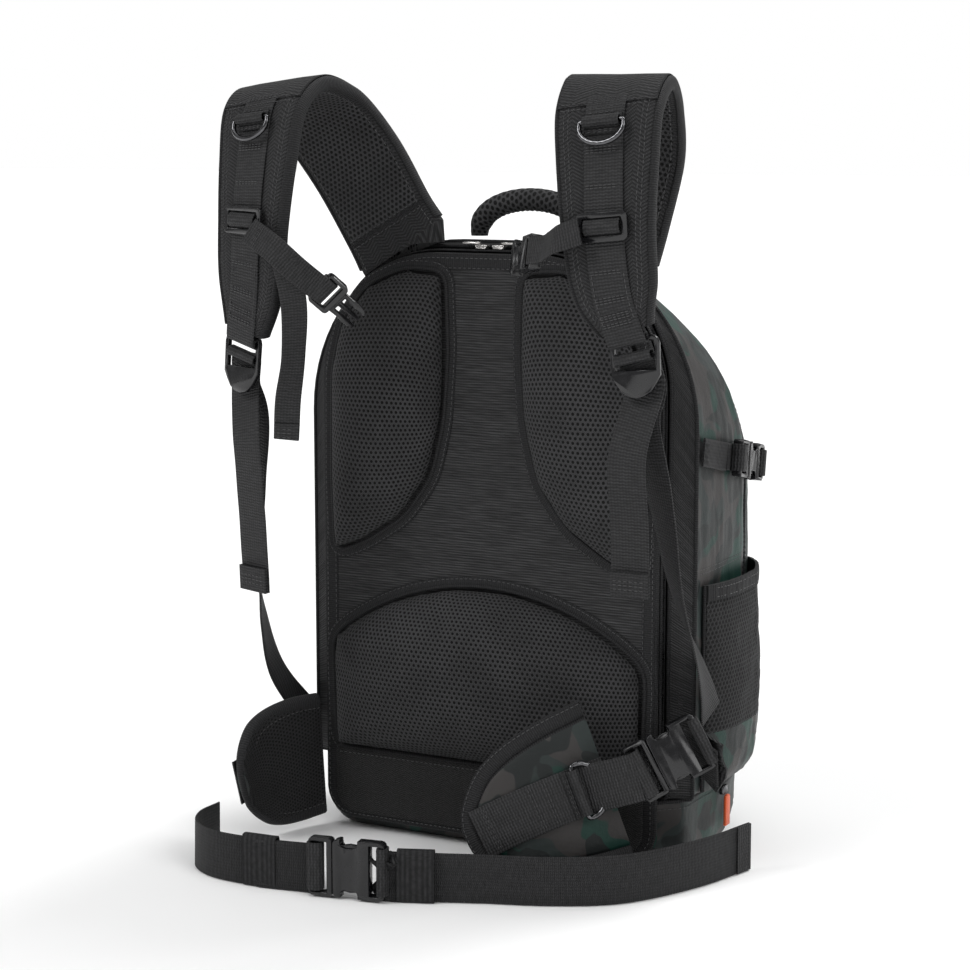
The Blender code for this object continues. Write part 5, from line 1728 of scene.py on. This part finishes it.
def make_belt():
    left_frames = make_wing("left")
    right_frames = make_wing("right")
    level = WING / 2 + WING_GAP + WEB / 2
    piece = Piece("hip_left_webbing")
    web(piece, shift_along(left_frames, level), WAIST_WEB)
    for share in (-1, 1):
        strap_stitches(piece, left_frames, share * 0.0165, level + WEB / 2 + 0.0002)
    piece.stand_for("webbing", "hip_webbing_left")

    piece = Piece("hip_right_webbing")
    web(piece, shift_along(right_frames, level), WAIST_WEB)
    for place in (0.25, 1.35, 1.65, 2.7):
        at = frame_at(right_frames, place, SPAN)
        bar_tack(piece, at, WAIST_WEB - 0.004, level + WEB / 2 + 0.0003, rows=2, gap=0.002)
    at = frame_at(right_frames, 0.75, SPAN)
    ring_centre = at[0] + at[2] * (WING / 2 + WING_GAP + WEB + 0.0046)
    folded_tab(piece, ring_centre, at[1], at[2], WAIST_WEB - 0.002, 0.0037)
    piece.stand_for("webbing", "hip_webbing_right")

    belts = (
        ("right", FEMALE_LOOP, BELT_RIGHT, 11.0, 1.34, 1.60),
        ("left", MALE_LOOP, BELT_LEFT, 12.0, 1.95, 2.10),
    )
    for side, fold, points, seed, keeper_at, doubled in belts:
        frames = ripple_frames(belt_frames(fold[0], points), 0.0012, 0.09, seed)
        frames = upright_above_floor(frames)
        piece = Piece(f"belt_{side}_webbing")
        web(piece, frames, WAIST_WEB, "belt")
        toward_viewer = 1 if frames[2][2].y < 0 else -1
        layer = shift_along(frames[: int(doubled * SPAN)], 0.0026 * toward_viewer)
        web(piece, layer, WAIST_WEB - 0.0004, "belt")
        bar_loop(piece, WAIST, *fold, WAIST_WEB - 0.0010)
        keeper(piece, frame_at(frames, keeper_at, SPAN))
        if side == "right":
            hem(piece, frames, WAIST_WEB, 1, 0.022)
        piece.stand_for("webbing", f"waist_webbing_{side}")

    inner, outer = frame_at(right_frames, 0.25, SPAN), right_frames[0]
    back = (outer[0] - inner[0]).normalized()
    hip = placed(outer[0] + outer[2] * 0.0247 + back * 0.0360, (0.66, 0.62, 0.42), outer[2])
    piece = Piece("hip_buckle_strap")
    end = hip @ Vector((MALE_BAR, 0, 0.0052))
    ring_at = frame_at(right_frames, 0.60, SPAN)
    route = [end, ring_at[0].lerp(end, 0.5) + outer[2] * 0.0060, ring_at[0] + ring_at[2] * (level + 0.0024)]
    bar_side = Vector(hip.to_3x3().col[1])
    bar_side = bar_side if bar_side.dot(outer[1]) > 0 else -bar_side
    web(piece, strap_frames(route, [bar_side, outer[1], ring_at[1]], SPAN), WAIST_WEB - 0.001)
    bar_loop(piece, hip, *MALE_LOOP, WAIST_WEB - 0.001)
    piece.ride_on("hip_male")
    piece = Piece("hip_socket_strap")
    bar_loop(piece, hip, *FEMALE_LOOP, WAIST_WEB - 0.001)
    start = hip @ Vector((FEMALE_BAR, 0, -0.0057))
    stop = Vector((0.1810, -0.0925, 0.0830))
    route = [start, start.lerp(stop, 0.5), stop]
    web(piece, strap_frames(route, [bar_side] * 3, SPAN), WAIST_WEB - 0.001)
    piece.ride_on("pack")

    anchor = copied("hip_anchor_cloth", "hip_anchor_webbing")
    divide = anchor.modifiers.new("divide", "SUBSURF")
    divide.subdivision_type = "SIMPLE"
    divide.levels = 2
    divide.render_levels = 2
    applied(anchor)
    anchor.data.materials.clear()
    anchor.data.materials.append(Finish.made["webbing"])
    layer = anchor.data.uv_layers.new(name="UVMap")
    for loop in anchor.data.loops:
        p = anchor.data.vertices[loop.vertex_index].co
        layer.data[loop.index].uv = (p.z, p.x + p.y)
    stand_for(anchor, "webbing", "hip_anchor_webbing")


def upright_above_floor(frames):
    """Keeps a belt that stands on edge from dipping into the floor."""
    made = []
    for centre, side, out in frames:
        low = centre.z - abs(side.z) * WAIST_WEB / 2 - abs(out.z) * 0.001
        made.append((centre + Vector((0, 0, max(0.0, 0.0003 - low))), side, out))
    return made


# ---------------------------------------------------------------- pockets, straps on the sides, handle, zips
POCKET_SEAM = 0.105  # above it the side pockets are mesh, below it printed cloth


def make_side_pocket(side, sign):
    low, rim, high = BASE_HEIGHT + 0.004, 0.2120, 0.2250
    heights = [(low, 0.001), (0.075, 0.009), (0.100, 0.013), (0.135, 0.014), (0.175, 0.012), (rim, 0.010)]
    curve = smooth_curve([(z, b, 0) for z, b in heights], 8)
    depths = [-0.066 + 0.132 * i / 48 for i in range(49)]

    def ring(z, bulge, thick, stand, seed):
        inner, outer = [], []
        for y in depths:
            swell = 1 - abs(y / 0.066) ** 3
            wave = fractal((y * 0.8, z * 1.6, sign), 0.026, 3, seed)
            gather = abs(fractal((y, z * 0.35, 0), 0.014, 2, 1.0))
            loose = bulge * swell * (0.90 + 0.10 * wave) - 0.0010 * swell * gather
            x = side_x(y) + 0.0008 - stand + loose
            inner.append(Vector((sign * x, y, z)))
            outer.append(Vector((sign * (x + thick), y, z)))
        return [*inner, *reversed(outer)]

    piece = Piece(f"side_pocket_{side}_mesh")
    rows = [ring(p.x, p.y, 0.0016, 0.0, 3.0) for p in curve]
    coords = [[((k if k < 50 else 98 - k) * 0.00275, p.x) for k in range(99)] for p in curve]
    cloth = sum(1 for p in curve if p.x < POCKET_SEAM)
    finish = lambda i, k: "camo" if i < cloth else "pocket_mesh"
    piece.loft(rows, coords, finish, "binding", "binding")
    piece.stand_for("air_mesh", f"side_pocket_{side}", sharp_deg=60)

    piece = Piece(f"pocket_{side}_elastic")
    rows = []
    for z in np.linspace(rim + 0.0003, high, 7):
        round_off = 0.0004 * math.sin(math.pi * (z - rim) / (high - rim))
        row = ring(z, 0.0098, 0.0028, 0.0005, 6.0)
        rows.append([p + Vector((sign * (round_off + 0.0003 * math.sin(p.y * 1500)), 0, 0)) for p in row])
    coords = [[(z.z, (k if k < 50 else 98 - k) * 0.00275) for k in range(99)] for z in [r[0] for r in rows]]
    piece.loft(rows, coords, "binding", "binding", "binding")
    for z in (rim + 0.0030, high - 0.0030):
        points, normals = [], []
        for y in depths[2:-2]:
            x = side_x(y) + 0.0028 + 0.0092 * (1 - abs(y / 0.066) ** 3)
            points.append(Vector((sign * x, y, z)))
            normals.append(Vector((sign, 0, 0)))
        stitch_row(piece, points, normals)
    piece.stand_for("webbing", f"pocket_binding_{side}", sharp_deg=60)

    trim = Piece(f"pocket_{side}_seams")
    for y in (-0.0665, 0.0665):
        edge = [(sign * (side_x(y) + 0.0004), y, z) for z in np.linspace(low, high, 30)]
        tube(trim, edge, 0.0014, "binding")
    for z in (0.2340, 0.2375):
        line = [Vector((sign * side_x(y), y, z)) for y in np.linspace(-0.072, 0.024, 40)]
        line = [p + Vector((sign, 0, 0)) * (bag_folds(p) + 0.0002) for p in line]
        stitch_row(trim, line, [Vector((sign, 0, 0))] * 40)
    trim.ride_on("pack")


SIDE_WEB = 0.022


def make_side_strap(side, sign):
    path, widths = [], []
    for y in (-0.0740, -0.0620, -0.0500, -0.0400, -0.0320):
        sunk = 0.0006 if y < -0.07 else 0
        path.append((sign * (side_x(y) + 0.0020 - sunk), y, 0.3290 - (y + 0.074) * 0.20))
        widths.append((0, 0.20, 0.98))
    frames = strap_frames(path, widths, SPAN)
    frames = [(c, w, o if o.x * sign > 0 else -o) for c, w, o in frames]
    piece = Piece(f"side_strap_{side}_webbing")
    web(piece, ripple_frames(frames, 0.0006, 0.02, 3.0), SIDE_WEB)
    bar_tack(piece, frame_at(frames, 0.35, SPAN), 0.018, WEB / 2 + 0.0003, rows=3, gap=0.0020)
    piece.stand_for("webbing", f"side_strap_{side}")

    near, far = Vector((side_x(-0.0300), -0.0300, 0)), Vector((side_x(0.0300), 0.0300, 0))
    along = (far - near).normalized()
    out = Vector((along.y, -along.x, 0))
    seat = near.lerp(far, 0.38) + out * 0.0085 + Vector((0, 0, 0.3160))
    along, out, seat = [Vector((sign * v.x, v.y, v.z)) for v in (along, out, seat)]
    buckle = placed(seat, along + Vector((0, 0, -0.20)), out)
    width = SIDE_WEB - 0.001
    across = Vector(buckle.to_3x3().col[1])
    for body, fold, reach in ((f"side_male_{side}", MALE_LOOP, -0.011), ("pack", FEMALE_LOOP, 0.018)):
        piece = Piece(f"{body}_{side}_loop")
        bar_loop(piece, buckle, *fold, width)
        start = buckle @ Vector((fold[0], 0, -fold[2]))
        stop = buckle @ Vector((fold[0] + reach, 0, -0.0066))
        web(piece, strap_frames([start, start.lerp(stop, 0.5), stop], [across] * 3, SPAN), width)
        piece.ride_on(body)


def make_handle():
    """A soft tube in spacer mesh, with a row of stitches along its underside."""
    centre_x, handle_y, foot_z = 0.019, -0.062, 0.4880
    frames = []
    count = 56
    for i in range(count + 1):
        a = math.pi * i / count
        lift = 0.0290 * math.sin(a) ** 0.8 if 0 < i < count else 0.0
        frames.append((Vector((centre_x - 0.046 * math.cos(a), handle_y, foot_z + lift)), a))
    piece = Piece("handle_mesh")
    points = [c for c, _ in frames]
    made = []
    for i, point in enumerate(points):
        along = (points[min(i + 1, count)] - points[max(i - 1, 0)]).normalized()
        if i in (0, count):
            along = Vector((0, 0, 1 if i == 0 else -1))
        made.append((point, Vector((0, 1, 0)), along.cross(Vector((0, 1, 0)))))

    def girth(i):
        share = min(i, count - i) / count
        size = 0.0066 + 0.0022 * min(1.0, share / 0.10) + 0.00015 * math.sin(i * 2.1)
        return oval_profile(size, size, 24)

    sweep(piece, made, girth, "air_mesh")
    handle = piece.stand_for("air_mesh", "grab_handle", sharp_deg=60)
    trim = Piece("handle_feet")
    seam = [c - o * 0.0088 for c, _, o in made[6:-6]]
    stitch_row(trim, seam, [-o for _, _, o in made[6:-6]])
    trim.ride_on("handle")


def make_front_pocket():
    depth = 0.1200
    rings = []
    outline = arch(0.090, 0.066, 0.262, 0.060, 0.022, 14, 10)
    inner = arch(0.0875, 0.0685, 0.2595, 0.0575, 0.0195, 14, 10)
    steps = np.linspace(0.0986, depth, 9)

    def bow(y, x, z):
        return 0.0009 * fractal((x, y * 2, z), 0.02, 2, 2.0) - 0.0006

    for y in steps:
        ring = []
        for x, z in outline:
            away = Vector((x, 0, z - 0.16)).normalized()
            ring.append(Vector((x, y, z)) + away * bow(y, x, z))
        rings.append(ring)
    rings += [[Vector((x, y, z)) for x, z in inner] for y in (depth, 0.0986)]
    piece = Piece("front_pocket_side")
    count = len(outline)
    coords = [[(k * 0.008, r * 0.003) for k in range(count + 1)] for r in range(len(rings) + 1)]
    piece.grid(rings, coords, "camo", close_rows=True, close_across=True)
    piece.stand_for("camo", "front_pocket_wall", sharp_deg=60)

    piece = Piece("front_pocket_cover")
    panel = arch(0.0905, 0.0655, 0.2625, 0.0605, 0.0225, 14, 10)
    rows = [[Vector((x, depth + rise, z)) for x, z in panel] for rise in (0.0006, 0.0022)]
    for step in range(1, 15):
        share = 1 - step / 15
        crown = 0.0060 * (1 - share**2.4) - 0.0004 * abs(fractal((share * 3, step, 0), 0.5, 2, 1.0))
        ring = []
        for x, z in panel:
            p = Vector((x * share, 0, 0.164 + (z - 0.164) * share))
            wave = 0.0009 * fractal(p, 0.035, 3, 6.0) * share * (1 - share) * 4
            ring.append(Vector((p.x, depth + min(0.0059, max(0.0023, crown + wave)), p.z)))
        rows.append(ring)
    coords = [[(p.x, p.z) for p in [*row, row[0]]] for row in rows]
    piece.loft(rows, coords, "camo", "lining", "camo")
    piece.stand_for("camo", "front_pocket_panel", sharp_deg=50)
    trim = Piece("front_pocket_zip")
    edge = [Vector((x, depth + 0.0016, z)) for x, z in arch(0.0912, 0.0650, 0.2632, 0.0612, 0.0232)]
    tube(trim, resample(edge, 0.004, closed=True), 0.0014, "binding", closed=True)
    level = 0.2325
    up, front = Vector((0, 0, 1)), Vector((0, 1, 0))
    band = [(Vector((x, depth + 0.0058, level)), up, front) for x in np.linspace(-0.055, 0.055, 24)]
    sweep(trim, band, flat_profile(0.012, 0.0008), "binding")
    for x in np.linspace(-0.053, 0.053, 54):
        tooth(trim, Vector((x, depth + 0.0063, level)), Vector((1, 0, 0)), front)
    trim.ride_on("front_panel")


def tooth(piece, at, along, out, wide=0.0018, high=0.0005):
    """One tooth of a zip's coil."""
    half = 0.0007
    across = along.cross(out)
    verts = []
    for z in (-1, 1):
        for x, y in ((-1, -1), (1, -1), (1, 1), (-1, 1)):
            verts.append(at + along * half * x + across * wide * y + out * high * z * (0.7 if z > 0 else 1))
    faces = [(0, 3, 2, 1), (4, 5, 6, 7), (0, 1, 5, 4), (1, 2, 6, 5), (2, 3, 7, 6), (3, 0, 4, 7)]
    piece.blob(verts, faces, "zip_teeth")


def make_rear_zip():
    """The long zip round the back opening: two tapes and a row of teeth."""
    half, low, high, corner = 0.148, 0.060, 0.478, 0.105
    outline = arch(half, low, high, corner, 0.0005, 40, 24)
    path = [Vector((x, 0, z)) for x, z in outline if z > low + 0.002]
    start = max(range(len(path)), key=lambda k: (path[k] - path[k - 1]).length)
    path = [*path[start:], *path[:start]]
    path = resample(path, 0.004)
    middle = BACK_Y + 0.0003 + 0.0050
    frames = []
    for i, p in enumerate(path):
        along = (path[min(i + 1, len(path) - 1)] - path[max(i - 1, 0)]).normalized()
        frames.append((p + Vector((0, middle, 0)), Vector((0, 1, 0)), along.cross(Vector((0, 1, 0)))))
    outward = [(c, s, o if o.dot(c - Vector((0, middle, 0.25))) > 0 else -o) for c, s, o in frames]
    piece = Piece("rear_zip_tapes")
    sweep(piece, outward, flat_profile(0.0092, 0.0014), "binding")
    for i in range(len(outward) - 1):
        a, b = outward[i], outward[i + 1]
        for share in (0.0, 0.5):
            centre = a[0].lerp(b[0], share)
            along = (b[0] - a[0]).normalized()
            tooth(piece, centre + a[2] * 0.0008, along, a[2], wide=0.0013, high=0.0004)
    piece.stand_for("webbing", "rear_zip_tape")


# ---------------------------------------------------------------- floor, light and camera
def make_stage():
    mesh = bpy.data.meshes.new("floor")
    size = 30.0
    corners = [(-size, -size, 0), (size, -size, 0), (size, size, 0), (-size, size, 0)]
    mesh.from_pydata(corners, [], [(0, 1, 2, 3)])
    floor = bpy.data.objects.new("floor", mesh)
    bpy.context.scene.collection.objects.link(floor)
    f = Finish("floor", 0.9)
    f.colour(rgb(0.97, 0.97, 0.97))
    mesh.materials.append(f.material)
    floor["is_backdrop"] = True

    bpy.context.scene.view_settings.view_transform = "Standard"
    world = bpy.data.worlds.new("studio")
    world.use_nodes = True
    tree = world.node_tree
    light = tree.nodes["Background"]
    light.inputs["Color"].default_value = rgb(1.0, 1.0, 1.0)
    light.inputs["Strength"].default_value = 0.28
    backdrop = tree.nodes.new("ShaderNodeBackground")
    backdrop.inputs["Color"].default_value = rgb(1.0, 1.0, 1.0)
    seen = tree.nodes.new("ShaderNodeMixShader")
    tree.links.new(tree.nodes.new("ShaderNodeLightPath").outputs["Is Camera Ray"], seen.inputs[0])
    tree.links.new(light.outputs[0], seen.inputs[1])
    tree.links.new(backdrop.outputs[0], seen.inputs[2])
    tree.links.new(seen.outputs[0], tree.nodes["World Output"].inputs["Surface"])
    bpy.context.scene.world = world

    for name, toward, strength, spread in (
        ("key", (-0.75, -1.0, 1.1), 1.15, 25),
        ("fill", (1.3, -0.5, 1.0), 0.9, 35),
        ("rim", (0.5, 1.2, 1.3), 1.5, 25),
        ("top", (0.0, 0.1, 1.0), 0.9, 50),
    ):
        sun = bpy.data.lights.new(name, "SUN")
        sun.energy = strength
        sun.angle = math.radians(spread)
        obj = bpy.data.objects.new(name, sun)
        obj.rotation_euler = (-Vector(toward)).to_track_quat("-Z", "Y").to_euler()
        bpy.context.scene.collection.objects.link(obj)


CAMERA_AT = Vector((0.8487, -1.7000, 0.5661))
CAMERA_AZIMUTH = 28.0
CAMERA_ELEVATION = 8.5


def make_camera():
    azimuth, elevation = math.radians(CAMERA_AZIMUTH), math.radians(CAMERA_ELEVATION)
    level = math.cos(elevation)
    back = Vector((math.sin(azimuth) * level, -math.cos(azimuth) * level, math.sin(elevation)))
    data = bpy.data.cameras.new("camera")
    data.lens = 86.73
    data.sensor_width = 36.0
    camera = bpy.data.objects.new("camera", data)
    camera.location = CAMERA_AT
    camera.rotation_euler = (-back).to_track_quat("-Z", "Y").to_euler()
    bpy.context.scene.collection.objects.link(camera)
    bpy.context.scene.camera = camera


def main():
    make_camera()
    make_stage()
    make_materials()
    make_shell()
    make_gusset()
    make_base()
    make_back_panel()
    make_pads()
    make_lower_panel()
    make_rear_zip()
    make_front_pocket()
    make_handle()
    for side, sign in SIGNS.items():
        make_side_pocket(side, sign)
        make_side_strap(side, sign)
        make_shoulder(side)
    make_sternum()
    make_belt()
    make_hardware()


main()
boxes = {"cad": cad_bounds, "visual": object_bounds()}
{name: [[float(c) for c in corner] for corner in box] for name, box in boxes.items()}
